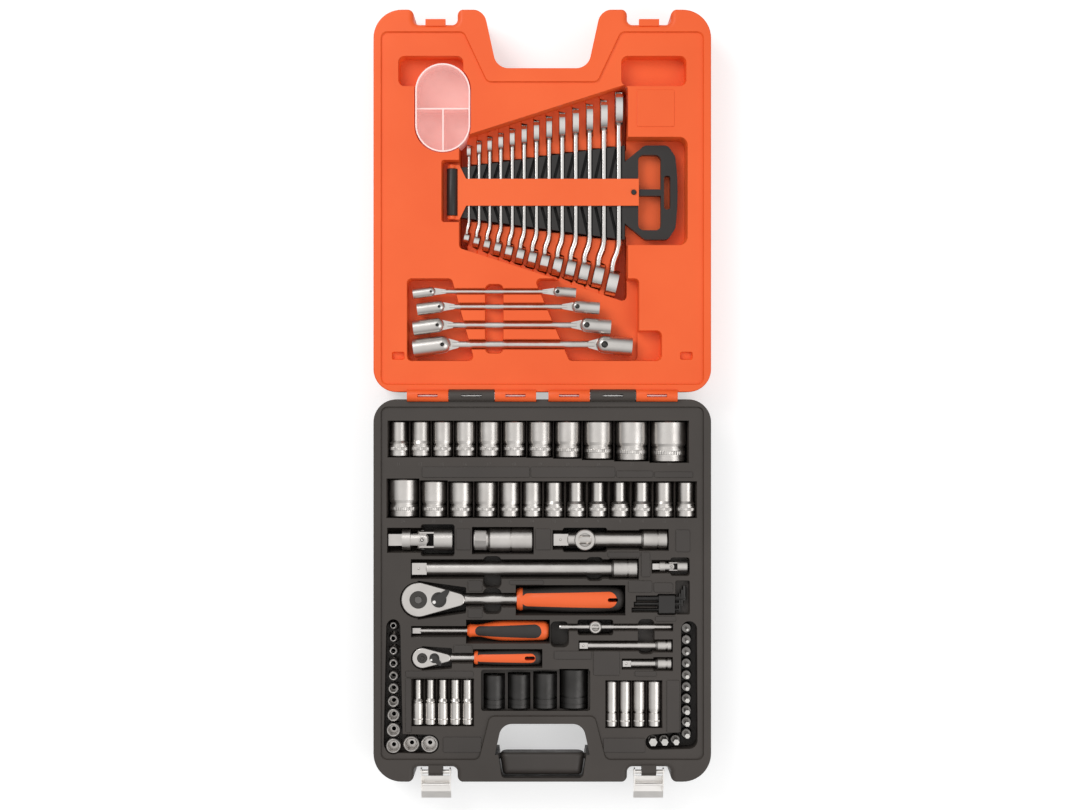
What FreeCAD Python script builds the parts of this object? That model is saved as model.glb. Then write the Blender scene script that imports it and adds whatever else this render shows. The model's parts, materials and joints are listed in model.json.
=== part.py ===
import FreeCAD, Part
import math
import os
import re

import Sketcher
from FreeCAD import Placement, Rotation, Vector

# Driving dimensions, in millimetres and degrees
SIZES = {
    # Case halves
    "case_width": 370.0,
    "half_depth": 419.0,
    "half_height": 58.0,
    "front_corner": 31.0,
    "back_corner": 25.0,
    "floor_round": 4.0,
    "rim_round": 1.4,
    "rim_width": 9.0,
    "deck_drop": 2.5,
    "deck_corner": 14.0,
    "rim_gap": 0.3,
    "foot_recess": 2.0,
    "foot_border": 22.0,
    "foot_band": 90.0,
    # Hinge
    "hinge_gap": 4.0,
    "hinge_group_x": 77.3,
    "knuckle_radius": 6.5,
    "knuckle_middle": 50.0,
    "knuckle_outer": 46.0,
    "knuckle_play": 0.4,
    "hinge_pin_radius": 2.0,
    "pin_fit": 0.1,
    "pin_play": 0.3,
    "knuckle_window": 22.0,
    "knuckle_window_width": 3.3,
    # Latches
    "latch_x": 117.0,
    "notch_width": 48.0,
    "notch_depth": 16.0,
    "notch_round": 6.0,
    "tongue_width": 16.0,
    "tongue_thickness": 12.0,
    "tongue_end": 4.4,
    "latch_pin_inset": 6.1,
    "latch_pin_drop": 7.0,
    "latch_pin_radius": 2.2,
    "lever_width": 32.8,
    "lever_sheet": 1.2,
    "lever_plate_drop": 6.5,
    "lever_heel": 6.0,
    "lever_bend": 23.0,
    "lever_reach": 31.0,
    "lever_lip_drop": 4.0,
    "lever_eye": 4.6,
    "claw_reach": 14.0,
    "claw_radius": 1.5,
    "catch_width": 22.0,
    "catch_reach": 5.5,
    "catch_depth": 4.7,
    # Carry handle, hand hole and the lid's notch over it
    "hand_hole_back": 63.5,
    "hand_hole_half": 44.5,
    "hand_hole_round": 14.0,
    "hand_hole_front_half": 52.0,
    "bay_back": 29.5,
    "bay_bar": 4.2,
    "bay_gap": 1.3,
    "bay_half_back": 48.2,
    "bay_half_front": 44.5,
    "bay_round": 4.8,
    "handle_back": 30.7,
    "handle_thickness": 24.0,
    "handle_pivot_inset": 25.5,
    "handle_pivot_z": 41.0,
    "handle_front_round": 9.0,
    "handle_back_round": 4.0,
    "handle_pin_radius": 3.0,
    "handle_pin_reach": 7.0,
    "lid_notch_depth": 64.3,
    "lid_notch_half_floor": 50.0,
    "lid_notch_half_edge": 64.0,
    "lid_notch_round": 16.0,
    # Fit of the tools in the halves
    "tool_drop": 1.5,
    "tool_clear": 0.6,
    "seat_gap": 0.3,
    "end_clear": 1.2,
    "pocket_flare": 1.6,
    # Half-inch sockets
    "half_square": 12.7,
    "half_socket_length": 38.0,
    "half_length_from": 18.0,
    "half_length_gain": 0.5,
    "half_drive_od": 20.8,
    "half_drive_share": 0.94,
    "half_bore": 5.0,
    "od_per_flats": 1.2,
    "od_extra": 3.6,
    "square_fit": 0.2,
    "socket_edge": 0.9,
    "groove_width": 2.2,
    "groove_depth": 1.0,
    "upper_row_left": -168.0,
    "upper_row_right": 159.0,
    "upper_row_y": 185.0,
    "lower_row_left": -169.0,
    "lower_row_right": 168.0,
    "lower_row_y": 80.5,
    # Quarter-inch sockets
    "quarter_square": 6.35,
    "quarter_bore": 2.4,
    "quarter_drive_od": 11.6,
    "quarter_od_per_flats": 1.25,
    "quarter_od_extra": 2.2,
    "small_length": 25.0,
    "small_gap": 2.2,
    "small_column_x": -163.4,
    "small_column_y": -38.7,
    "small_row_y": -168.6,
    "small_row_x": -143.6,
    "small_well_lip": 7.0,
    "deep_length": 50.0,
    "deep_pitch": 13.6,
    "deep_left_x": -136.4,
    "deep_left_y": -97.8,
    "deep_right_x": 76.3,
    "deep_right_y": -99.8,
    "deep_right_gap": 2.6,
    "deep_nose_share": 0.42,
    # Impact sockets
    "impact_x": -52.9,
    "impact_gap": 4.6,
    "impact_y": -130.2,
    "impact_od_per_flats": 1.2,
    "impact_od_extra": 6.6,
    "impact_length": 37.0,
    "impact_length_gain": 1.0,
    "impact_length_from": 13.0,
    # Bit sockets
    "bit_holder_od": 11.2,
    "bit_holder_length": 20.0,
    "bit_total": 36.0,
    "bit_pitch": 12.95,
    "bit_column_x": 159.1,
    "bit_column_y": -43.1,
    "bit_row_x": 147.0,
    "bit_row_y": -166.4,
    "bit_row_pitch": 12.7,
    "bit_seat": 6.0,
    # Spark plug socket
    "spark_x": -76.0,
    "spark_y": 54.6,
    "spark_length": 65.4,
    "spark_od": 26.5,
    "spark_nose_od": 21.5,
    "spark_nose": 16.0,
    "spark_flats": 16.0,
    # Extensions
    "ext_250_x": -143.0,
    "ext_250_y": 23.4,
    "ext_250_length": 247.7,
    "ext_250_shaft": 14.2,
    "ext_250_female": 20.0,
    "ext_125_x": 12.5,
    "ext_125_y": 55.3,
    "ext_125_length": 125.0,
    "ext_125_shaft": 15.3,
    "ext_125_female": 20.7,
    "half_male": 15.0,
    "half_female": 26.0,
    "ext_100_x": 41.0,
    "ext_100_y": -60.9,
    "ext_100_length": 101.0,
    "ext_100_shaft": 7.0,
    "ext_100_female": 11.6,
    "ext_50_x": 88.4,
    "ext_50_y": -80.8,
    "ext_50_length": 53.6,
    "ext_50_shaft": 7.4,
    "ext_50_female": 12.5,
    "quarter_male": 8.0,
    "quarter_female": 15.0,
    "ball_radius": 1.5,
    # Sliding T heads
    "slide_half_x": 46.8,
    "slide_half_od": 23.0,
    "slide_half_height": 20.6,
    "slide_half_travel": 10.0,
    "slide_quarter_x": 58.3,
    "slide_quarter_od": 13.5,
    "slide_quarter_height": 13.0,
    "slide_quarter_travel": 10.0,
    "slide_play": 0.3,
    "slide_cap_share": 0.65,
    "slide_cap_depth": 4.0,
    "t_bar_x": 18.7,
    "t_bar_y": -40.6,
    "t_bar_length": 123.7,
    "t_bar_od": 5.5,
    # Universal joints
    "uj_half_x": -169.0,
    "uj_half_y": 55.0,
    "uj_half_od": 24.0,
    "uj_half_length": 70.0,
    "uj_half_centre": 37.0,
    "uj_half_hub_gap": 13.0,
    "uj_half_fork_od": 21.0,
    "uj_half_ear": 6.0,
    "uj_half_block": 13.2,
    "uj_half_pin": 3.0,
    "uj_half_sway": 3.6,
    "uj_quarter_x": 121.0,
    "uj_quarter_y": 26.0,
    "uj_quarter_od": 12.0,
    "uj_quarter_length": 38.0,
    "uj_quarter_centre": 20.5,
    "uj_quarter_hub_gap": 6.8,
    "uj_quarter_fork_od": 10.6,
    "uj_quarter_ear": 3.0,
    "uj_quarter_block": 6.6,
    "uj_quarter_pin": 1.5,
    "uj_quarter_sway": 2.4,
    "uj_play": 0.3,
    # Half-inch ratchet
    "ratchet_half_x": -136.2,
    "ratchet_half_y": -10.8,
    "ratchet_half_head": 19.5,
    "ratchet_half_neck": 7.4,
    "ratchet_half_neck_x": 44.0,
    "ratchet_half_thickness": 20.0,
    "ratchet_half_shaft": 6.3,
    "ratchet_half_grip_x": 108.2,
    "ratchet_half_grip_length": 118.0,
    "ratchet_half_collar": 12.9,
    "ratchet_half_swell": 14.8,
    "ratchet_half_drive": 9.4,
    "ratchet_half_button": 3.75,
    "ratchet_half_lever_x": 22.5,
    "ratchet_half_lever": 8.2,
    "ratchet_half_tab": 13.0,
    "ratchet_half_tab_turn": 45.0,
    "ratchet_half_inlay": 8.9,
    "ratchet_half_male": 15.0,
    # Quarter-inch ratchet
    "ratchet_quarter_x": -131.8,
    "ratchet_quarter_y": -74.6,
    "ratchet_quarter_head": 11.6,
    "ratchet_quarter_neck": 4.6,
    "ratchet_quarter_neck_x": 27.0,
    "ratchet_quarter_thickness": 12.0,
    "ratchet_quarter_shaft": 4.1,
    "ratchet_quarter_grip_x": 57.0,
    "ratchet_quarter_grip_length": 73.7,
    "ratchet_quarter_collar": 7.85,
    "ratchet_quarter_swell": 8.6,
    "ratchet_quarter_drive": 5.4,
    "ratchet_quarter_button": 2.1,
    "ratchet_quarter_lever_x": 13.4,
    "ratchet_quarter_lever": 5.2,
    "ratchet_quarter_tab": 9.0,
    "ratchet_quarter_tab_turn": -45.0,
    "ratchet_quarter_inlay": 5.0,
    "ratchet_quarter_male": 8.5,
    "ratchet_play": 0.3,
    "ratchet_lever_depth": 4.0,
    "ratchet_tab_lift": 0.6,
    "ratchet_tab_thickness": 2.4,
    "ratchet_edge": 1.8,
    "button_travel": 2.0,
    "hang_slot_inset": 16.0,
    "hang_slot_half": 2.2,
    "hang_slot_length": 7.0,
    # Spinner handle
    "spinner_x": -142.7,
    "spinner_y": -45.2,
    "spinner_shaft": 3.25,
    "spinner_shaft_length": 60.2,
    "spinner_grip_length": 89.6,
    "spinner_front": 7.5,
    "spinner_swell": 11.3,
    "spinner_panel": 7.6,
    "spinner_panel_x": 14.0,
    "spinner_panel_length": 60.0,
    # Hex keys and their clip
    "key_clip_x": 127.8,
    "key_clip_y": -15.4,
    "key_clip_length": 17.5,
    "key_clip_width": 20.0,
    "key_clip_height": 9.0,
    "key_pitch": 6.2,
    "key_left": 99.0,
    "key_corner_x": 151.0,
    "key_corner_step": 2.4,
    "key_short": 18.0,
    "key_fit": 0.15,
    # Storage box
    "box_x": -109.3,
    "box_y": 102.6,
    "box_half_width": 30.0,
    "box_long": 37.0,
    "box_height": 38.0,
    "box_wall": 1.5,
    "box_cover": 1.6,
    "box_cover_lip": 2.0,
    "box_cover_play": 0.4,
    "box_divider": 30.0,
    # Wrench rack and combination wrenches
    "rack_y": 11.0,
    "rack_left": -93.0,
    "rack_right": 91.0,
    "rack_half_left": 27.0,
    "rack_half_right": 52.0,
    "rack_floor": 24.0,
    "rack_comb_top": 41.2,
    "rack_slot_play": 0.4,
    "rack_grip_round": 7.0,
    "rack_fin_gap": 3.4,
    "rack_fin_depth": 11.0,
    "rack_handle_drop": 12.0,
    "rack_peg_half": 3.5,
    "rack_knob_radius": 2.6,
    "rack_knob_x": 101.0,
    "rack_knob_rise": 5.0,
    "band_right": 106.5,
    "band_half": 14.85,
    "band_flare_x": -84.0,
    "band_fork_x": -93.4,
    "band_left": -104.3,
    "band_fork_half": 30.3,
    "band_arm": 4.4,
    "band_thickness": 3.0,
    "band_gap": 0.3,
    "band_axis_x": -99.6,
    "band_eye": 4.2,
    "rack_bar_radius": 5.75,
    "rack_bar_play": 0.4,
    "rack_journal": 2.2,
    "wrench_left": -81.1,
    "wrench_gap": 5.9,
    "wrench_length_per": 9.0,
    "wrench_length_extra": 53.0,
    "jaw_width_per": 2.05,
    "jaw_width_extra": 1.5,
    "jaw_thick_per": 0.28,
    "jaw_thick_extra": 2.2,
    "jaw_turn": 15.0,
    "ring_width_per": 1.42,
    "ring_width_extra": 2.2,
    "ring_thick_per": 0.45,
    "ring_thick_extra": 2.5,
    "ring_turn": -13.0,
    "wrench_crank": 0.24,
    "wrench_crank_run": 0.14,
    "shank_height_per": 0.62,
    "shank_height_extra": 2.0,
    "shank_thick_per": 0.22,
    "shank_thick_extra": 1.9,
    # Flex-head wrenches
    "flex_head_left_turn": 7.5,
    "flex_head_right_turn": -4.5,
    "flex_rod_share": 0.42,
    "flex_tongue_share": 0.34,
    "flex_pin_left_share": 0.1,
    "flex_pin_right_share": 0.17,
    "flex_pin_half_share": 0.32,
    "flex_play": 0.3,
    "flex_web": 15.0,
    "flex_depth": 12.0,
}

# Sizes that come in sets, one entry for each tool of the set
SETS = {
    "upper_row_flats": (11, 13, 15, 16, 17, 18, 19, 21, 24, 27, 30),
    "lower_row_flats": (24, 20, 18, 17, 15, 14, 12, 10, 9, 8, 10, 12, 11),
    "small_flats": (4, 4.5, 5, 5.5, 6, 7, 8, 9, 10, 11, 12, 13),
    "deep_left_flats": (4, 4.5, 5, 5.5, 6),
    "deep_right_flats": (7, 8, 9, 10),
    "impact_flats": (13, 14, 15, 19),
    "bit_flats": (2.5, 3, 3, 3.5, 4, 4, 4.5, 5, 5, 5, 6, 7, 8),
    "key_flats": (2.5, 3, 4),
    "wrench_flats": (6, 7, 8, 9, 10, 11, 12, 13, 14, 15, 16, 17, 19),
    "flex_y": (-99.1, -115.6, -135.8, -157.2),
    "flex_left": (-122.2, -113.1, -115.3, -109.8),
    "flex_right": (16.8, 38.5, 48.9, 68.4),
    "flex_left_reach": (19.9, 24.5, 26.8, 32.4),
    "flex_right_reach": (20.2, 24.5, 26.6, 30.6),
    "flex_od": (11.0, 13.5, 16.5, 20.0),
    "flex_flats": (8, 10, 12, 14),
}
for set_name, members in SETS.items():
    for index, member in enumerate(members, start=1):
        SIZES[f"{set_name}_{index}"] = member

# Places that follow from the driving dimensions
DECK = "(half_height - deck_drop)"
TOP = "(half_height - tool_drop)"
HINGE_Y = "(half_depth / 2 + hinge_gap)"
HINGE_Z = "(half_height + rim_gap / 2)"
LID_BACK = "(half_depth / 2 + 2 * hinge_gap)"
LID_CENTRE = "(half_depth + 2 * hinge_gap)"
FRONT = "(-half_depth / 2)"

# Directions that a tool's own axis can point in
UP = Rotation()
DOWN = Rotation(Vector(1, 0, 0), 180)
TO_RIGHT = Rotation(Vector(0, 1, 0), 90)
TO_LEFT = Rotation(Vector(0, 1, 0), -90)
TO_FRONT = Rotation(Vector(1, 0, 0), 90)
TO_BACK = Rotation(Vector(1, 0, 0), -90)
EIGHTH_TURN = Rotation(Vector(0, 0, 1), 45)
QUARTER_TURN = Rotation(Vector(0, 0, 1), 90)

doc = FreeCAD.newDocument("socket_wrench_set")
sheet = doc.addObject("Spreadsheet::Sheet", "sizes")
for row, (alias, value) in enumerate(SIZES.items(), start=1):
    sheet.set(f"A{row}", str(value))
    sheet.setAlias(f"A{row}", alias)
doc.recompute()

sub_parts = []
base_cavities = []
lid_cavities = []


# Binding sizes to the sheet

def sized(text):
    """The text of a size, with each sheet name made into a reference to its cell."""
    return re.sub(r"[a-z_][a-z0-9_]*", lambda word: sheet_name(word[0]), str(text))


def sheet_name(word):
    """A sheet reference for a name that is in the sheet, and the word itself otherwise."""
    return "sizes." + word if word in SIZES else word


def number(text):
    """The value of a size's text at the sheet's present values."""
    return float(sheet.evalExpression(sized(text)))


def point(x, y, z="0"):
    """A point whose coordinates are sizes."""
    return Vector(number(x), number(y), number(z))


def bind(item, **sizes):
    """Tie properties to the sheet, with x, y and z for the place."""
    places = {"x": "Placement.Base.x", "y": "Placement.Base.y", "z": "Placement.Base.z"}
    for key, text in sizes.items():
        item.setExpression(places.get(key, key), sized(text))


def place(item, x="0", y="0", z="0", turn=UP):
    """Turn an object and tie its place to the sheet."""
    item.Placement = Placement(Vector(), turn)
    bind(item, x=x, y=y, z=z)


def keep(item, label):
    """Name a finished sub-part."""
    item.Label = label
    sub_parts.append(item)
    return item


# Features of a body

def new_body(name):
    return doc.addObject("PartDesign::Body", name)


def add(body, kind, name, turn=UP, x="0", y="0", z="0", **sizes):
    """A primitive that is added to or taken from a body."""
    feature = body.newObject("PartDesign::" + kind, f"{body.Name}_{name}")
    place(feature, x, y, z, turn)
    bind(feature, **sizes)
    return feature


def prism(body, kind, name, sides, flats, height, turn=UP, x="0", y="0", z="0"):
    """A straight prism on a regular polygon, given by its width across flats."""
    first = EIGHTH_TURN if sides == 4 else UP
    feature = add(body, kind + "Prism", name, turn.multiply(first), x, y, z, Height=height)
    feature.Polygon = sides
    bind(feature, Circumradius=f"({flats}) / 2 / cos({180 / sides} deg)")
    return feature


def sketch_on(body, name, role):
    """A sketch on one of the body's own origin planes."""
    sketch = body.newObject("Sketcher::SketchObject", f"{body.Name}_{name}_sketch")
    support = next(item for item in body.Origin.OriginFeatures if item.Role == role)
    sketch.AttachmentSupport = [(support, "")]
    sketch.MapMode = "FlatFace"
    return sketch


def bulged(start, end, radius):
    """An arc from start to end, bulging to the right of that way for a positive radius."""
    chord = end - start
    left = Vector(-chord.y, chord.x, 0).normalize()
    away = math.sqrt(radius ** 2 - chord.Length ** 2 / 4)
    centre = (start + end) / 2 + left * math.copysign(away, radius)
    first, last = (start, end) if radius > 0 else (end, start)
    opening = math.atan2(first.y - centre.y, first.x - centre.x)
    closing = math.atan2(last.y - centre.y, last.x - centre.x)
    if closing < opening:
        closing += 2 * math.pi
    return Part.ArcOfCircle(Part.Circle(centre, Vector(0, 0, 1), abs(radius)), opening, closing)


def outline(sketch, corners, arcs=None):
    """A closed chain through corners, straight or, where arcs names an edge, with that radius."""
    arcs = arcs or {}
    spots = [point(x, y) for x, y in corners]
    count = len(spots)
    edges = []
    ends = []
    for index, start in enumerate(spots):
        end = spots[(index + 1) % count]
        if index in arcs:
            edge = bulged(start, end, number(arcs[index]))
            ends.append((1, 2) if number(arcs[index]) > 0 else (2, 1))
        else:
            edge = Part.LineSegment(start, end)
            ends.append((1, 2))
        edges.append(edge)
    sketch.addGeometry(edges, False)
    rules = []
    bound = []
    for index, spot in enumerate(spots):
        follower = (index + 1) % count
        rules.append(Sketcher.Constraint("Coincident", index, ends[index][1], follower, ends[follower][0]))
        for kind, place_now, text in zip(("DistanceX", "DistanceY"), (spot.x, spot.y), corners[index]):
            bound.append((len(rules), text))
            rules.append(Sketcher.Constraint(kind, -1, 1, index, ends[index][0], place_now))
        if index in arcs:
            bound.append((len(rules), f"abs({arcs[index]})"))
            rules.append(Sketcher.Constraint("Radius", index, abs(number(arcs[index]))))
    sketch.addConstraint(rules)
    for rule, text in bound:
        if re.search("[a-z]", text):
            sketch.setExpression(f"Constraints[{rule}]", sized(text))


def slot_outline(sketch, first_radius, second_radius, distance):
    """Two round ends joined by tangent lines, the first end on the sketch's origin."""
    near, far, gap = number(first_radius), number(second_radius), number(distance)
    lean = math.acos((near - far) / gap)
    upright = Vector(0, 0, 1)
    away = Vector(gap, 0, 0)
    reach = Vector(math.cos(lean), math.sin(lean), 0)
    mirror = Vector(reach.x, -reach.y, 0)
    sketch.addGeometry([
        Part.ArcOfCircle(Part.Circle(Vector(), upright, near), lean, 2 * math.pi - lean),
        Part.ArcOfCircle(Part.Circle(away, upright, far), -lean, lean),
        Part.LineSegment(reach * near, away + reach * far),
        Part.LineSegment(mirror * near, away + mirror * far)], False)
    rule = Sketcher.Constraint
    sketch.addConstraint([
        rule("Coincident", 0, 3, -1, 1), rule("PointOnObject", 1, 3, -1),
        rule("Tangent", 0, 1, 2, 1), rule("Tangent", 2, 2, 1, 2),
        rule("Tangent", 0, 2, 3, 1), rule("Tangent", 3, 2, 1, 1),
        rule("Radius", 0, near), rule("Radius", 1, far), rule("DistanceX", -1, 1, 1, 3, gap)])
    for index, text in ((6, first_radius), (7, second_radius), (8, distance)):
        sketch.setExpression(f"Constraints[{index}]", sized(text))


def pad(body, sketch, name, length, rise="0"):
    """Raise a sketch from a given height above its plane."""
    bind(sketch, **{"AttachmentOffset.Base.z": rise})
    feature = body.newObject("PartDesign::Pad", f"{body.Name}_{name}")
    feature.Profile = sketch
    bind(feature, Length=length)
    return feature


def cut_through(body, sketch, name, length):
    """Cut a sketch to both sides of its plane."""
    feature = body.newObject("PartDesign::Pocket", f"{body.Name}_{name}")
    feature.Profile = sketch
    feature.Midplane = True
    bind(feature, Length=length)
    return feature


def turned(body, name, corners, arcs=None):
    """Turn an outline of (radius, height) corners about the body's upright axis."""
    sketch = sketch_on(body, name, "XZ_Plane")
    outline(sketch, corners, arcs)
    feature = body.newObject("PartDesign::Revolution", f"{body.Name}_{name}")
    feature.Profile = sketch
    feature.ReferenceAxis = (sketch, ["V_Axis"])
    feature.Angle = 360
    return feature


def rounded(body, name, radius, wanted):
    """Round the edges of the body so far that are wanted."""
    doc.recompute()
    so_far = body.Tip
    edges = [f"Edge{index}" for index, edge in enumerate(so_far.Shape.Edges, start=1) if wanted(edge)]
    feature = body.newObject("PartDesign::Fillet", f"{body.Name}_{name}")
    feature.Base = (so_far, edges)
    bind(feature, Radius=radius)
    doc.recompute()
    return feature


def upright_edge(x=None, y=None):
    """A test for upright edges at a given x or y."""
    def wanted(edge):
        box = edge.BoundBox
        thin = box.XLength < 0.01 and box.YLength < 0.01
        at_x = x is None or any(abs(box.XMin - number(text)) < 0.05 for text in x)
        at_y = y is None or any(abs(box.YMin - number(text)) < 0.05 for text in y)
        return thin and at_x and at_y
    return wanted


def level_edge(z):
    """A test for edges that lie wholly at one height."""
    def wanted(edge):
        box = edge.BoundBox
        return box.ZLength < 0.01 and abs(box.ZMin - number(z)) < 0.01
    return wanted


def combine(kind, name, first, second):
    """One object as the common part of two, or as the first less the second."""
    result = doc.addObject("Part::" + kind, name)
    result.Base, result.Tool = first, second
    return result


def group(name, items):
    """Separate solids that share one sub-part."""
    result = doc.addObject("Part::Compound", name)
    result.Links = items
    return result


# Hollows of the two halves

def cradle(start, end, radius, top, flare):
    """A channel with a half-round floor about a tool's axis, flared towards its open top."""
    upright = Vector(0, 0, 1)
    side = (end - start).cross(upright).normalize()
    left, right = start - side * radius, start + side * radius
    rise = upright * (top - start.z)
    high_left, high_right = left - side * flare + rise, right + side * flare + rise
    floor = Part.Arc(left, start - upright * radius, right).toShape()
    walls = [Part.makeLine(*ends) for ends in ((right, high_right), (high_right, high_left),
                                               (high_left, left))]
    return Part.Face(Part.Wire([floor] + walls)).extrude(end - start)


def ring(corners, radius, height):
    """A closed wire through level corners, each rounded."""
    arcs = []
    count = len(corners)
    for index, corner in enumerate(corners):
        back = (corners[index - 1] - corner).normalize()
        ahead = (corners[(index + 1) % count] - corner).normalize()
        half = back.getAngle(ahead) / 2
        run = radius / math.tan(half)
        inward = (back + ahead).normalize()
        middle = corner + inward * (radius / math.sin(half) - radius)
        arcs.append((corner + back * run, middle, corner + ahead * run))
    lift = Vector(0, 0, height)
    edges = []
    for index, (start, middle, end) in enumerate(arcs):
        edges.append(Part.Arc(start + lift, middle + lift, end + lift).toShape())
        edges.append(Part.makeLine(end + lift, arcs[(index + 1) % count][0] + lift))
    return Part.Wire(edges)


def spread(corners, distance):
    """The corners of an anticlockwise outline with each side moved outwards."""
    moved = []
    count = len(corners)
    for index, corner in enumerate(corners):
        before = (corner - corners[index - 1]).normalize()
        after = (corners[(index + 1) % count] - corner).normalize()
        side_before, side_after = Vector(before.y, -before.x, 0), Vector(after.y, -after.x, 0)
        moved.append(corner + (side_before + side_after) * (distance / (1 + side_before.dot(side_after))))
    return moved


def basin(corners, radius, floor, top, flare):
    """A hollow with rounded upright corners that widens towards its open top."""
    return Part.makeLoft([ring(corners, radius, floor), ring(spread(corners, flare), radius, top)], True,
                         True)


def box_basin(left, right, front, back, radius, floor, top, flare):
    """A basin on a rectangle."""
    corners = [Vector(left, front), Vector(right, front), Vector(right, back), Vector(left, back)]
    return basin(corners, radius, floor, top, flare)


def well(x, y, radius, floor, top):
    """A round hollow for a standing tool."""
    return Part.makeCylinder(radius, top - floor, Vector(x, y, floor))


def lay(cavities, start, end, radius, margin=None):
    """The channel that a round tool lies in, from its axis' two ends."""
    along = (end - start).normalize() * number(margin or "end_clear")
    roomy = number(radius) + number("tool_clear")
    seat = start - Vector(0, 0, number("seat_gap - tool_clear"))
    lift = seat - start
    cavities.append(cradle(seat - along, end + lift + along, roomy, number("half_height + 1"),
                           number("pocket_flare")))


def clear_under(cavities, left, right, front, back, floor, corner=3.0):
    """A hollow under a tool's head, open to the top."""
    cavities.append(box_basin(left, right, front, back, corner, floor, number("half_height + 1"),
                              number("pocket_flare")))


# Case halves

def knuckle_spans(middle):
    """The spans of the hinge's knuckles across the case, of the lower half or of the lid."""
    inner = "knuckle_middle / 2"
    outer = "(knuckle_middle / 2 + knuckle_outer)"
    spans = []
    for side in ("-1", "1"):
        centre = f"{side} * hinge_group_x"
        if middle:
            spans.append((f"{centre} - {inner}", "knuckle_middle"))
        else:
            spans.append((f"{centre} - {outer}", "knuckle_outer"))
            spans.append((f"{centre} + {inner}", "knuckle_outer"))
    return spans


def case_half(name):
    """The block of one half, its back edge on the X axis, with rounded corners and latch notches."""
    body = new_body(name)
    add(body, "AdditiveBox", "block", x="-case_width / 2", Length="case_width", Width="half_depth",
        Height="half_height")
    rounded(body, "back_corners", "back_corner", upright_edge(y=["0"]))
    rounded(body, "front_corners", "front_corner",
            upright_edge(x=["-case_width / 2", "case_width / 2"], y=["half_depth"]))
    rounded(body, "floor_edge", "floor_round", level_edge("0"))
    rounded(body, "rim_edge", "rim_round", level_edge("half_height"))
    panel = "(case_width / 2 - foot_border - foot_band / 2)"
    for side, left in (("left", f"-foot_band / 2 - {panel}"), ("right", "foot_band / 2")):
        add(body, "SubtractiveBox", f"foot_{side}", x=left, y="foot_border", Length=panel,
            Width="half_depth - 3.2 * foot_border", Height="foot_recess")
    for side, centre in (("left", "-latch_x"), ("right", "latch_x")):
        add(body, "SubtractiveBox", f"notch_{side}", x=f"{centre} - notch_width / 2",
            y="half_depth - notch_depth", Length="notch_width", Width="notch_depth", Height="half_height")
    sides = [f"{sign} * latch_x {way} notch_width / 2" for sign in ("-1", "1") for way in "-+"]
    rounded(body, "notch_floor", "notch_round", upright_edge(x=sides, y=["half_depth - notch_depth"]))
    rounded(body, "notch_shoulder", "notch_round", upright_edge(x=sides, y=["half_depth"]))
    return body


def hinge_side(body, middle):
    """Knuckles, their webs and windows, and room for the other half's knuckles."""
    radius, play = "knuckle_radius", "knuckle_play"
    for index, (start, length) in enumerate(knuckle_spans(not middle)):
        add(body, "SubtractiveCylinder", f"scoop_{index}", TO_RIGHT, start, "-hinge_gap", HINGE_Z,
            Radius=f"{radius} + {play}", Height=length)
    bore = "hinge_pin_radius + pin_fit" if middle else "hinge_pin_radius + pin_play"
    for index, (start, length) in enumerate(knuckle_spans(middle)):
        left, run = f"{start} + {play}", f"{length} - 2 * {play}"
        add(body, "AdditiveBox", f"web_{index}", x=left, y="-hinge_gap", z=f"{HINGE_Z} - {radius}",
            Length=run, Width="hinge_gap + 1", Height=f"half_height - {HINGE_Z} + {radius}")
        add(body, "AdditiveCylinder", f"knuckle_{index}", TO_RIGHT, left, "-hinge_gap", HINGE_Z,
            Radius=radius, Height=run)
        add(body, "SubtractiveCylinder", f"bore_{index}", TO_RIGHT, left, "-hinge_gap", HINGE_Z,
            Radius=bore, Height=run)
        add(body, "SubtractiveBox", f"window_{index}", x=f"{start} + ({length} - knuckle_window) / 2",
            y="-hinge_gap - knuckle_window_width / 2", z=HINGE_Z, Length="knuckle_window",
            Width="knuckle_window_width", Height=f"{radius} + 1")


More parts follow.
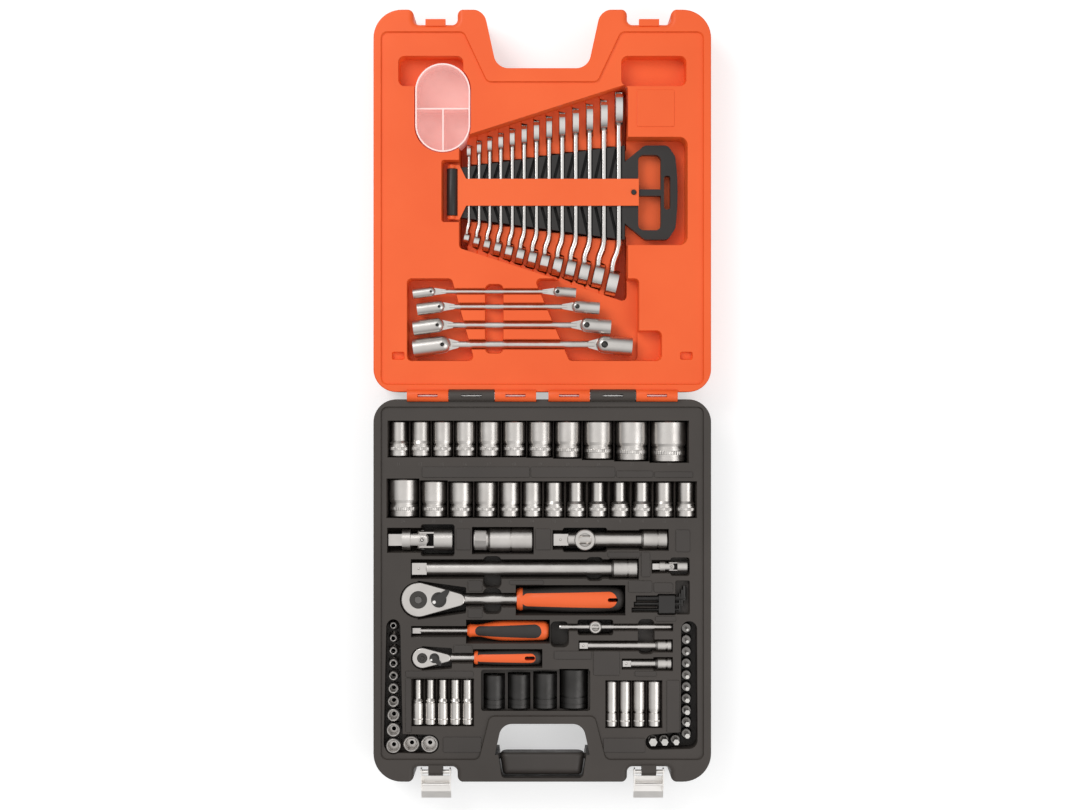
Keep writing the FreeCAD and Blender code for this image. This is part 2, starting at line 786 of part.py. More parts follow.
def base_block():
    """The lower half before its tool hollows: hand hole, handle bay, latch tongues and hinge."""
    body = case_half("base_block")
    sketch = sketch_on(body, "hand_hole", "XY_Plane")
    bay = "half_depth - bay_back"
    outline(sketch, [
        ("-hand_hole_half", "half_depth - hand_hole_back"), ("hand_hole_half", "half_depth - hand_hole_back"),
        ("hand_hole_front_half", bay), ("bay_half_back", bay), ("bay_half_front", "half_depth - bay_bar"),
        ("-bay_half_front", "half_depth - bay_bar"), ("-bay_half_back", bay), ("-hand_hole_front_half", bay)])
    cut_through(body, sketch, "hand_hole", "4 * half_height")
    rounded(body, "hand_hole_corners", "hand_hole_round",
            upright_edge(x=["-hand_hole_half", "hand_hole_half"], y=["half_depth - hand_hole_back"]))
    rounded(body, "bay_corners", "bay_round",
            upright_edge(x=["-bay_half_front", "bay_half_front"], y=["half_depth - bay_bar"]))
    pivot_y = "half_depth - handle_pivot_inset"
    for side, turn, start in (("left", TO_LEFT, "-bay_half_front"), ("right", TO_RIGHT, "bay_half_front")):
        add(body, "SubtractiveCylinder", f"handle_eye_{side}", turn, start, pivot_y, "handle_pivot_z",
            Radius="handle_pin_radius + pin_play",
            Height="handle_pin_reach + bay_half_back - bay_half_front + 1")
    pin_y = "half_depth - notch_depth + latch_pin_inset"
    pin_z = "half_height - latch_pin_drop"
    for side, centre in (("left", "-latch_x"), ("right", "latch_x")):
        add(body, "AdditiveBox", f"tongue_{side}", x=f"{centre} - tongue_width / 2",
            y="half_depth - notch_depth - 2",
            z=f"{pin_z} - tongue_thickness / 2", Length="tongue_width", Width="latch_pin_inset + 2",
            Height="tongue_thickness")
        add(body, "AdditiveCylinder", f"tongue_nose_{side}", TO_RIGHT, f"{centre} - tongue_width / 2",
            pin_y, pin_z,
            Radius="tongue_end", Height="tongue_width")
        add(body, "SubtractiveCylinder", f"tongue_eye_{side}", TO_RIGHT, f"{centre} - tongue_width / 2",
            pin_y, pin_z,
            Radius="latch_pin_radius + pin_fit", Height="tongue_width")
    hinge_side(body, True)
    place(body, y="half_depth / 2", turn=Rotation(Vector(0, 0, 1), 180))
    return body


def lid_block():
    """The lid before its tool hollows: notch over the handle, latch catches and hinge."""
    body = case_half("lid_block")
    sketch = sketch_on(body, "handle_notch", "XY_Plane")
    floor = "half_depth - lid_notch_depth"
    beyond = "half_depth + 10"
    widening = "(lid_notch_half_edge - lid_notch_half_floor)"
    lean = f"({widening} / sqrt({widening} ^ 2 + lid_notch_depth ^ 2))"
    run = f"(lid_notch_round * sqrt((1 - {lean}) / (1 + {lean})))"
    wall = (f"(lid_notch_half_edge - {run} * {lean})", f"half_depth - {run} * sqrt(1 - {lean} ^ 2)")
    edge = f"(lid_notch_half_edge + {run})"
    outline(sketch, [
        ("-lid_notch_half_floor", floor), ("lid_notch_half_floor", floor), wall, (edge, "half_depth"),
        (edge, beyond), (f"-{edge}", beyond), (f"-{edge}", "half_depth"), (f"-{wall[0]}", wall[1])],
        {2: "-lid_notch_round", 6: "-lid_notch_round"})
    cut_through(body, sketch, "handle_notch", "4 * half_height")
    rounded(body, "handle_notch_floor", "lid_notch_round",
            upright_edge(x=["-lid_notch_half_floor", "lid_notch_half_floor"], y=[floor]))
    for side, centre in (("left", "-latch_x"), ("right", "latch_x")):
        add(body, "AdditiveBox", f"catch_{side}", x=f"{centre} - catch_width / 2",
            y="half_depth - notch_depth - 2", z="half_height - catch_depth", Length="catch_width",
            Width="catch_reach + 2", Height="catch_depth")
    hinge_side(body, False)
    place(body, y=LID_BACK)
    return body


def deck(cavities, corners):
    """The sunken field inside a half's rim."""
    spots = [point(x, y) for x, y in corners]
    flare = number("deck_drop") / 2
    cavities.append(basin(spots, number("deck_corner") / 2, number(DECK), number("half_height + 0.5"), flare))


def base_deck():
    side, back = "(case_width / 2 - rim_width)", "(half_depth / 2 - rim_width)"
    front = f"({FRONT} + notch_depth + rim_width)"
    hole = f"({FRONT} + hand_hole_back + rim_width)"
    deck(base_cavities, [
        (f"-{side}", front), ("-hand_hole_front_half - 2 * rim_width", front),
        ("-hand_hole_half - 1.5 * rim_width", hole), ("hand_hole_half + 1.5 * rim_width", hole),
        ("hand_hole_front_half + 2 * rim_width", front), (side, front), (side, back), (f"-{side}", back)])


def lid_deck():
    side, back = "(case_width / 2 - rim_width)", f"({LID_BACK} + rim_width)"
    front = f"({LID_BACK} + half_depth - notch_depth - rim_width)"
    notch = f"({LID_BACK} + half_depth - lid_notch_depth - 1.7 * rim_width)"
    deck(lid_cavities, [
        (f"-{side}", back), (side, back), (side, front), ("lid_notch_half_edge + 2.5 * rim_width", front),
        ("lid_notch_half_floor + 1.2 * rim_width", notch), ("-lid_notch_half_floor - 1.2 * rim_width", notch),
        ("-lid_notch_half_edge - 2.5 * rim_width", front), (f"-{side}", front)])


def hollowed(label, block, cavities):
    """A half with the hollows of its tools, which follow the tools' own sizes."""
    hollows = doc.addObject("Part::Feature", label + "_hollows")
    hollows.Shape = cavities[0].multiFuse(cavities[1:])
    hollows.Placement = Placement()
    return keep(combine("Cut", label, block, hollows), label)


# Hinge, latches and carry handle

def hinge_pins():
    pins = []
    for side, sign in (("left", "-1"), ("right", "1")):
        body = new_body(f"hinge_pin_{side}")
        length = "(knuckle_middle + 2 * knuckle_outer - 2 * knuckle_play)"
        add(body, "AdditiveCylinder", "rod", TO_RIGHT, f"{sign} * hinge_group_x - {length} / 2", HINGE_Y,
            HINGE_Z,
            Radius="hinge_pin_radius", Height=length)
        pins.append(body)
    keep(group("hinge_pins", pins), "hinge_pins")


LATCH_PIN_Y = f"({FRONT} + notch_depth - latch_pin_inset)"
LATCH_PIN_Z = "(half_height - latch_pin_drop)"


def latch_pins():
    pins = []
    for side, centre in (("left", "-latch_x"), ("right", "latch_x")):
        body = new_body(f"latch_pin_{side}")
        add(body, "AdditiveCylinder", "rod", TO_RIGHT, f"{centre} - lever_width / 2 - 0.6", LATCH_PIN_Y,
            LATCH_PIN_Z,
            Radius="latch_pin_radius", Height="lever_width + 1.2")
        pins.append(body)
    keep(group("latch_pins", pins), "latch_pins")


def latch_lever(side, centre):
    """A folded sheet lever, open and pointing forwards, with a claw rod between its cheeks."""
    body = new_body(f"latch_sheet_{side}")
    sketch = sketch_on(body, "cheek", "YZ_Plane")
    under, sheet_low = "-lever_plate_drop", "-lever_plate_drop - lever_sheet"
    corners = [("lever_eye * 0.7", "-lever_eye * 0.7"), ("lever_eye * 0.7", "lever_eye * 0.7"),
               ("-claw_reach", "claw_radius * 2.4"), ("-lever_bend", under),
               ("-lever_reach", f"{under} - lever_lip_drop"),
               ("-lever_reach + 0.6", f"{sheet_low} - lever_lip_drop"),
               ("-lever_bend", sheet_low), ("-lever_heel", sheet_low)]
    outline(sketch, corners, {0: "lever_eye * 1.02"})
    bar = body.newObject("PartDesign::Pad", f"{body.Name}_block")
    bar.Profile = sketch
    bar.Midplane = True
    bind(bar, Length="lever_width")
    add(body, "SubtractiveBox", "inside", x="-lever_width / 2 + lever_sheet", y="-2 * lever_reach", z=under,
        Length="lever_width - 2 * lever_sheet", Width="3 * lever_reach", Height="3 * lever_eye")
    add(body, "SubtractiveBox", "mouth", x="-lever_width / 2 + lever_sheet", y="-lever_heel",
        z="-3 * lever_eye",
        Length="lever_width - 2 * lever_sheet", Width="3 * lever_heel", Height="6 * lever_eye")
    add(body, "SubtractiveCylinder", "eye", TO_RIGHT, "-lever_width / 2", Height="lever_width",
        Radius="latch_pin_radius + pin_play")
    place(body, centre, LATCH_PIN_Y, LATCH_PIN_Z)
    claw = new_body(f"latch_claw_{side}")
    add(claw, "AdditiveCylinder", "rod", TO_RIGHT, "-lever_width / 2 + lever_sheet", "-claw_reach",
        Height="lever_width - 2 * lever_sheet", Radius="claw_radius")
    place(claw, centre, LATCH_PIN_Y, LATCH_PIN_Z)
    keep(group(f"latch_lever_{side}", [body, claw]), f"latch_lever_{side}")


def carry_handle():
    """A rounded grip bar on two trunnions, lying in the bay at the front of the lower half."""
    body = new_body("carry_handle")
    sketch = sketch_on(body, "grip", "XY_Plane")
    back, front = f"{FRONT} + handle_back", f"{FRONT} + bay_bar + bay_gap"
    outline(sketch, [
        ("-bay_half_front + bay_gap", front), ("bay_half_front - bay_gap", front),
        ("bay_half_back - bay_gap", back), ("-bay_half_back + bay_gap", back)])
    low = "handle_pivot_z - handle_thickness / 2"
    pad(body, sketch, "grip", "handle_thickness", low)
    doc.recompute()
    rounded(body, "front_corners", "bay_round - bay_gap / 2",
            upright_edge(x=["-bay_half_front + bay_gap", "bay_half_front - bay_gap"], y=[front]))
    along_front = [low, f"{low} + handle_thickness"]
    rounded(body, "front_edges", "handle_front_round",
            lambda edge: any(level_edge(z)(edge) for z in along_front)
            and edge.BoundBox.YMax < number(back) - 1)
    rounded(body, "back_edges", "handle_back_round",
            lambda edge: edge.BoundBox.YLength < 0.01 and edge.BoundBox.ZLength < 0.01
            and abs(edge.BoundBox.YMin - number(back)) < 0.01)
    for side, turn, sign in (("left", TO_LEFT, "-1"), ("right", TO_RIGHT, "1")):
        add(body, "AdditiveCylinder", f"trunnion_{side}", turn, f"{sign} * (bay_half_front - 6)",
            f"{FRONT} + handle_pivot_inset", "handle_pivot_z", Radius="handle_pin_radius",
            Height="handle_pin_reach + bay_half_back - bay_half_front + 6")
    keep(body, "carry_handle")


# Sockets

def socket(name, flats, nose, tail, length, square, bore, shoulder="0.55", hollow="0.45"):
    """A turned socket: its hexagon end at the bottom, its square drive end at the top."""
    body = new_body(name)
    step, groove = f"({length}) * ({shoulder})", f"(({length}) * ({shoulder}) + 3)"
    nose_r, tail_r = f"({nose}) / 2", f"({tail}) / 2"
    turned(body, "form", [
        ("0", "0"), (f"{nose_r} - socket_edge", "0"), (nose_r, "socket_edge"), (nose_r, step),
        (tail_r, groove), (f"{tail_r} - groove_depth", groove),
        (f"{tail_r} - groove_depth", f"{groove} + groove_width"), (tail_r, f"{groove} + groove_width"),
        (tail_r, f"({length}) * 0.86"), (f"{tail_r} - groove_depth / 2", f"({length}) * 0.86"),
        (f"{tail_r} - groove_depth / 2", f"({length}) * 0.86 + groove_width / 2"),
        (tail_r, f"({length}) * 0.86 + groove_width / 2"),
        (tail_r, f"{length} - socket_edge"), (f"{tail_r} - socket_edge", length), ("0", length)])
    prism(body, "Subtractive", "hexagon", 6, flats, f"({length}) * ({hollow})")
    prism(body, "Subtractive", "square", 4, f"{square} + square_fit", f"{square} * 1.15",
          z=f"{length} - {square} * 1.15")
    add(body, "SubtractiveCylinder", "bore", Radius=bore, Height=length)
    add(body, "SubtractiveCone", "mouth", Radius1=f"({flats}) / sqrt(3) + 0.3", Radius2=f"({flats}) / 2",
        Height=f"({flats}) * 0.1")
    return body


def half_inch_row(label, set_name, left, right, level, from_hexagon):
    """A row of half-inch sockets, hexagon end to the back, evenly spaced between its two ends."""
    count = len(SETS[set_name])
    noses, tails, widths, lengths = [], [], [], []
    for index in range(1, count + 1):
        flats = f"{set_name}_{index}"
        noses.append(f"(od_per_flats * {flats} + od_extra)")
        tails.append(f"max(half_drive_share * {noses[-1]}; half_drive_od)")
        widths.append(f"max({noses[-1]}; half_drive_od)")
        lengths.append(f"(half_socket_length + half_length_gain * max({flats} - half_length_from; 0))")
    gap = (number(right) - number(left) - sum(number(width) for width in widths)) / (count - 1)
    sockets = []
    edge = number(left)
    for index in range(count):
        radius = number(widths[index]) / 2
        body = socket(f"{label}_{index + 1}", f"{set_name}_{index + 1}", noses[index], tails[index],
                      lengths[index],
                      "half_square", "half_bore")
        length = number(lengths[index])
        start = number(level) if from_hexagon else number(level) + length
        spot = Vector(edge + radius, start, number(TOP) - radius)
        body.Placement = Placement(spot, TO_FRONT)
        lay(base_cavities, spot, spot - Vector(0, length, 0), f"{widths[index]} / 2")
        sockets.append(body)
        edge += 2 * radius + gap
    keep(group(label, sockets), label)


def small_sockets():
    """Standing quarter-inch sockets, mouths up, down the left side and along the front."""
    sockets = []
    spot = point("small_column_x", "small_column_y")
    last = None
    row_start = len(SETS["small_flats"]) - 2
    for index in range(len(SETS["small_flats"])):
        flats = f"small_flats_{index + 1}"
        nose = f"(quarter_od_per_flats * {flats} + quarter_od_extra)"
        tail = f"max({nose} * half_drive_share; quarter_drive_od)"
        wide = f"max({nose}; quarter_drive_od)"
        radius = number(wide) / 2
        if index == row_start:
            spot = point("small_row_x", "small_row_y")
        elif index > row_start:
            spot = spot + Vector(last + radius + number("small_gap"), 0, 0)
        elif last:
            spot = spot - Vector(0, last + radius + number("small_gap"), 0)
        body = socket(f"small_socket_{index + 1}", flats, nose, tail, "small_length", "quarter_square",
                      "quarter_bore", "0.5")
        body.Placement = Placement(spot + Vector(0, 0, number(TOP)), DOWN)
        floor = number(TOP) - number("small_length + seat_gap")
        base_cavities.append(well(spot.x, spot.y, radius + number("tool_clear"), floor,
                                  number("half_height")))
        base_cavities.append(well(spot.x, spot.y, radius + number("tool_clear") + 0.7,
                                  number(TOP) - number("small_well_lip"), number("half_height")))
        sockets.append(body)
        last = radius
    keep(group("small_sockets", sockets), "small_sockets")


def deep_sockets():
    """Deep quarter-inch sockets lying in two groups, hexagon end to the back."""
    sockets = []
    for index in range(len(SETS["deep_left_flats"])):
        flats = f"deep_left_flats_{index + 1}"
        body = socket(f"deep_left_{index + 1}", flats, f"quarter_od_per_flats * {flats} + quarter_od_extra",
                      "quarter_drive_od", "deep_length", "quarter_square", "quarter_bore", "deep_nose_share")
        sockets.append((body, number("deep_left_x") + index * number("deep_pitch"), "deep_left_y",
                        "quarter_drive_od / 2"))
    edge = number("deep_right_x")
    for index in range(len(SETS["deep_right_flats"])):
        flats = f"deep_right_flats_{index + 1}"
        nose = f"max(quarter_od_per_flats * {flats} + quarter_od_extra; quarter_drive_od)"
        body = socket(f"deep_right_{index + 1}", flats, nose,
                      f"max({nose} * half_drive_share; quarter_drive_od)",
                      "deep_length", "quarter_square", "quarter_bore", "0.6")
        edge += number(nose) / 2 if index else 0
        sockets.append((body, edge, "deep_right_y", f"{nose} / 2"))
        edge += number(nose) / 2 + number("deep_right_gap")
    for body, x, y, radius in sockets:
        spot = Vector(x, number(y), number(TOP) - number(radius))
        body.Placement = Placement(spot, TO_FRONT)
        lay(base_cavities, spot, spot - Vector(0, number("deep_length"), 0), radius)
    keep(group("deep_sockets", [entry[0] for entry in sockets]), "deep_sockets")


def impact_sockets():
    """Thick-walled sockets lying side by side behind the hand hole, hexagon end to the back."""
    sockets = []
    centre = number("impact_x")
    last = None
    for index in range(len(SETS["impact_flats"])):
        flats = f"impact_flats_{index + 1}"
        wide = f"(impact_od_per_flats * {flats} + impact_od_extra)"
        length = f"(impact_length + impact_length_gain * ({flats} - impact_length_from))"
        radius = number(wide) / 2
        if last:
            centre += last + radius + number("impact_gap")
        body = socket(f"impact_socket_{index + 1}", flats, wide, wide, length, "half_square", "half_bore",
                      "0.6")
        spot = Vector(centre, number("impact_y") + number(length), number(TOP) - radius)
        body.Placement = Placement(spot, TO_FRONT)
        lay(base_cavities, spot, spot - Vector(0, number(length), 0), f"{wide} / 2")
        sockets.append(body)
        last = radius
    keep(group("impact_sockets", sockets), "impact_sockets")


def bit_sockets():
    """Standing bit sockets with their hexagon bits, down the right side and along the front."""
    pieces = []
    count = len(SETS["bit_flats"])
    row_start = count - 3
    foot = number(TOP) - number("bit_total")
    for index in range(count):
        flats = f"bit_flats_{index + 1}"
        if index < row_start:
            spot = point("bit_column_x", f"bit_column_y - {index} * bit_pitch")
        else:
            spot = point(f"bit_row_x - {index - row_start} * bit_row_pitch", "bit_row_y")
        holder = new_body(f"bit_holder_{index + 1}")
        radius, length = "bit_holder_od / 2", "bit_holder_length"
        turned(holder, "form", [
            ("0", "0"), (f"{radius} - socket_edge", "0"), (radius, "socket_edge"),
            (radius, f"{length} * 0.4"),
            (f"{radius} - groove_depth", f"{length} * 0.45"),
            (f"{radius} - groove_depth", f"{length} * 0.55"),
            (radius, f"{length} * 0.6"), (radius, f"{length} - socket_edge"),
            (f"{radius} - socket_edge", length),
            ("0", length)])
        prism(holder, "Subtractive", "square", 4, "quarter_square + square_fit", "quarter_square * 1.15")
        prism(holder, "Subtractive", "seat", 6, f"{flats} + 0.1", "bit_seat", z=f"{length} - bit_seat")
        bit = new_body(f"bit_{index + 1}")
        prism(bit, "Additive", "shank", 6, flats, "bit_total - bit_holder_length + bit_seat",
              z=f"{length} - bit_seat")
        for body in (holder, bit):
            body.Placement = Placement(spot + Vector(0, 0, foot), UP)
            pieces.append(body)
        base_cavities.append(well(spot.x, spot.y, number(radius) + number("tool_clear"),
                                  foot - number("seat_gap"),
                                  number("half_height")))
    keep(group("bit_sockets", pieces), "bit_sockets")


def spark_plug_socket():
    """A long socket with a stepped hexagon nose, lying along the case."""
    body = new_body("spark_plug_socket")
    wide, nose = "spark_od / 2", "spark_nose_od / 2"
    turned(body, "form", [
        ("0", "0"), (f"{nose} - socket_edge", "0"), (nose, "socket_edge"), (nose, "spark_nose"),
        (wide, "spark_nose + 3"), (wide, "spark_length * 0.62"),
        (f"{wide} - groove_depth", "spark_length * 0.62"),
        (f"{wide} - groove_depth", "spark_length * 0.62 + groove_width"),
        (wide, "spark_length * 0.62 + groove_width"), (wide, "spark_length - socket_edge"),
        (f"{wide} - socket_edge", "spark_length"), ("0", "spark_length")])
    prism(body, "Additive", "nose", 6, "spark_nose_od", "spark_nose * 0.8", z="spark_nose * 0.1")
    prism(body, "Subtractive", "hexagon", 6, "spark_flats", "spark_length * 0.7")
    prism(body, "Subtractive", "square", 4, "half_square + square_fit", "half_square * 1.15",
          z="spark_length - half_square * 1.15")
    add(body, "SubtractiveCylinder", "bore", Radius="half_bore", Height="spark_length")
    place(body, "spark_x", "spark_y", f"{TOP} - spark_od / 2", TO_RIGHT)
    start = point("spark_x", "spark_y", f"{TOP} - spark_od / 2")
    lay(base_cavities, start, start + Vector(number("spark_length"), 0, 0), wide)
    keep(body, "spark_plug_socket")


# Extensions, T bar and sliding heads

def extension(name, square, male, female):
    """A bar with a square drive at its left end and a socket end at its right."""
    body = new_body(name)
    length, shaft, wide = f"{name}_length", f"{name}_shaft / 2", f"{name}_female / 2"
    turned(body, "form", [
        ("0", male), (f"{shaft} - socket_edge", male), (shaft, f"{male} + socket_edge"),
        (shaft, f"{length} - {female} - 3"), (wide, f"{length} - {female}"),
        (wide, f"{length} - {female} * 0.45"), (f"{wide} - groove_depth", f"{length} - {female} * 0.45"),
        (f"{wide} - groove_depth", f"{length} - {female} * 0.45 + groove_width"),
        (wide, f"{length} - {female} * 0.45 + groove_width"), (wide, f"{length} - socket_edge"),
        (f"{wide} - socket_edge", length), ("0", length)])
    prism(body, "Additive", "drive", 4, square, f"{male} + 1")
    add(body, "AdditiveSphere", "ball", x=f"-{square} / 2 + ball_radius * 0.5", z=f"{male} / 2",
        Radius="ball_radius")
    prism(body, "Subtractive", "square", 4, f"{square} + square_fit", f"{square} * 1.15",
          z=f"{length} - {square} * 1.15")
    place(body, f"{name}_x", f"{name}_y", f"{TOP} - {wide}", TO_RIGHT)
    start = point(f"{name}_x", f"{name}_y", f"{TOP} - {wide}")
    run = number(length)
    neck = Vector(run - number(female) - 4, 0, 0)
    narrow = f"max({shaft}; {square} * 0.72)"
    lay(base_cavities, start, start + neck, narrow)
    lay(base_cavities, start + neck, start + Vector(run, 0, 0), wide)
    keep(body, name)


def slide_head(name, label, square, bar_od, axis_y, axis_z, male):
    """A head with an upright axis that slides on a bar through its cross hole, its square pointing down."""
    body = new_body(label)
    radius, half = f"{name}_od / 2", f"{name}_height / 2"
    turned(body, "form", [
        ("0", f"-{half}"), (f"{radius} - socket_edge", f"-{half}"), (radius, f"-{half} + socket_edge"),
        (radius, f"{half} - socket_edge"), (f"{radius} - socket_edge", half),
        (f"{radius} * slide_cap_share", half), (f"{radius} * slide_cap_share", f"{half} - slide_cap_depth"),
        ("0", f"{half} - slide_cap_depth")])
    prism(body, "Additive", "drive", 4, square, f"{male} + 1", z=f"-{half} - {male}")
    add(body, "SubtractiveCylinder", "hole", TO_RIGHT, f"-{name}_od", Radius=f"({bar_od}) / 2 + slide_play",
        Height=f"2 * {name}_od")
    place(body, f"{name}_x", axis_y, axis_z)
    centre = point(f"{name}_x", axis_y, axis_z)
    room = number(radius) + number("tool_clear")
    travel = number(f"{name}_travel") + 1
    clear_under(base_cavities, centre.x - room - travel, centre.x + room + travel, centre.y - room,
                centre.y + room, centre.z - number(half) - number(male) - 1)
    keep(body, label)


def t_bar():
    """A plain round bar with domed ends, lying along the case."""
    body = new_body("t_bar")
    radius = "t_bar_od / 2"
    axis_z = f"({TOP} - slide_quarter_od / 2)"
    turned(body, "form", [
        ("0", "0"), (f"{radius} * 0.8", "0"), (radius, f"{radius} * 0.6"),
        (radius, f"t_bar_length - {radius} * 0.6"),
        (f"{radius} * 0.8", "t_bar_length"), ("0", "t_bar_length")])
    place(body, "t_bar_x", "t_bar_y", axis_z, TO_RIGHT)
    start = point("t_bar_x", "t_bar_y", axis_z)
    lay(base_cavities, start, start + Vector(number("t_bar_length"), 0, 0), radius)
    keep(body, "t_bar")
    slide_head("slide_quarter", "t_bar_head", "quarter_square", "t_bar_od", "t_bar_y", axis_z, "quarter_male")


# Universal joints

def ear_tip(edge, tip, ears_upright, half):
    """A test for the two straight edges across the end of a yoke's ear."""
    box = edge.BoundBox
    across = (box.YMin, box.YLength, box.XLength) if ears_upright else (box.XMin, box.XLength, box.YLength)
    at_end = box.ZLength < 0.01 and abs(box.ZMin - number(tip)) < 0.01
    return at_end and abs(abs(across[0]) - half) < 0.05 and across[1] < 0.01 and across[2] > 0.5


def universal_joint(name, square, male):
    """Two forked yokes at right angles on the pins of one cross."""
    size = lambda part: f"{name}_{part}"
    centre, gap, ear = size("centre"), size("hub_gap"), size("ear")
    hub, fork = f"{size('od')} / 2", f"{size('fork_od')} / 2"
    half_block = f"({size('block')} / 2 + uj_play)"
    axis_z = f"({TOP} - {hub})"
    length = size("length")

    def yoke(label, ears_upright, hub_start, hub_end, fork_start, fork_end, turn):
        body = new_body(label)
        add(body, "AdditiveCylinder", "hub", z=hub_start, Radius=hub, Height=f"{hub_end} - ({hub_start})")
        add(body, "AdditiveCylinder", "fork", z=fork_start, Radius=fork,
            Height=f"{fork_end} - ({fork_start})")
        inner, outer = (f"{centre} - {gap}", fork_end) if turn else (fork_start, f"{centre} + {gap}")
        rise = f"{outer} - ({inner})"
        across, slim = ("x", "y") if ears_upright else ("y", "x")
        middle = {across: f"-{half_block}", slim: f"-{size('od')}"}
        add(body, "SubtractiveBox", "slot", z=inner, Height=rise,
            Length=f"2 * {half_block}" if ears_upright else f"2 * {size('od')}",
            Width=f"2 * {size('od')}" if ears_upright else f"2 * {half_block}", **middle)
        for side, edge in (("near", f"-{size('od')} - {ear}"), ("far", ear)):
            flank = {slim: edge, across: f"-{size('od')}"}
            add(body, "SubtractiveBox", f"flank_{side}", z=inner, Height=rise,
                Length=f"2 * {size('od')}" if ears_upright else size("od"),
                Width=size("od") if ears_upright else f"2 * {size('od')}", **flank)
        tip = f"{centre} + {ear}" if turn else f"{centre} - {ear}"
        rounded(body, "ear_tips", f"{ear} * 0.8", lambda edge: ear_tip(edge, tip, ears_upright, number(ear)))
        pin_turn = TO_RIGHT if ears_upright else TO_FRONT
        start = {"x": f"-{size('od')}"} if ears_upright else {"y": size("od")}
        add(body, "SubtractiveCylinder", "eye", pin_turn, z=centre, Radius=f"{size('pin')} + uj_play",
            Height=f"2 * {size('od')}", **start)
        return body

    drive = yoke(f"{name}_drive_yoke", True, male, f"{centre} - {gap}", f"{centre} - {gap} - 1",
                 f"{centre} + {ear}", True)
    prism(drive, "Additive", "drive", 4, square, f"{male} + 1")
    tail = yoke(f"{name}_socket_yoke", False, f"{centre} + {gap}", length, f"{centre} - {ear}",
                f"{centre} + {gap} + 1", False)
    prism(tail, "Subtractive", "square", 4, f"{square} + square_fit", f"{square} * 1.15",
          z=f"{length} - {square} * 1.15")
    cross = new_body(f"{name}_cross")
    side = size("block")
    add(cross, "AdditiveBox", "block", x=f"-{side} / 2", y=f"-{side} / 2", z=f"{centre} - {side} / 2 * 0.7",
        Length=side, Width=side, Height=f"{side} * 0.7")
    pin_half = f"({fork} - 0.3)"
    add(cross, "AdditiveCylinder", "pin_across", TO_RIGHT, f"-{pin_half}", z=centre, Radius=size("pin"),
        Height=f"2 * {pin_half}")
    add(cross, "AdditiveCylinder", "pin_level", TO_FRONT, y=pin_half, z=centre, Radius=size("pin"),
        Height=f"2 * {pin_half}")
    for body in (drive, cross, tail):
        place(body, size("x"), size("y"), axis_z, TO_RIGHT)
        keep(body, body.Name)
    start = point(size("x"), size("y"), axis_z)
    lay(base_cavities, start, start + Vector(number(length), 0, 0), hub)
    reach = number(hub) + number("tool_clear") + number(size("sway"))
    clear_under(base_cavities, start.x + number(centre), start.x + number(length) + 1.5, start.y - reach,
                start.y + reach, start.z - number(hub) - number("seat_gap"))


# Ratchets and the spinner handle

def crown(run, drop):
    """The radius of an arc that starts level and drops by a given amount over a run."""
    return f"((({run}) ^ 2 + ({drop}) ^ 2) / (2 * ({drop})))"


def grip_blank(name, length, collar, swell, tang, tang_length):
    """A turned hand grip with a waist and a swell, bored for the tang of its shaft."""
    body = new_body(f"{name}_blank")
    turned(body, "form", [
        ("0", "0"), (f"{collar} * 0.9", "0"), (collar, f"{length} * 0.03"),
        (f"{collar} * 0.94", f"{length} * 0.16"),
        (swell, f"{length} * 0.62"), (f"{swell} * 0.86", f"{length} * 0.95"), (f"{swell} * 0.5", length),
        ("0", length)], {2: f"-{length} * 0.35", 3: crown(f"{length} * 0.46", f"{swell} - {collar} * 0.94"),
                         4: crown(f"{length} * 0.33", f"{swell} * 0.14"), 5: f"{swell} * 0.75"})
    add(body, "SubtractiveCylinder", "tang_hole", Radius=tang, Height=tang_length)
    return body


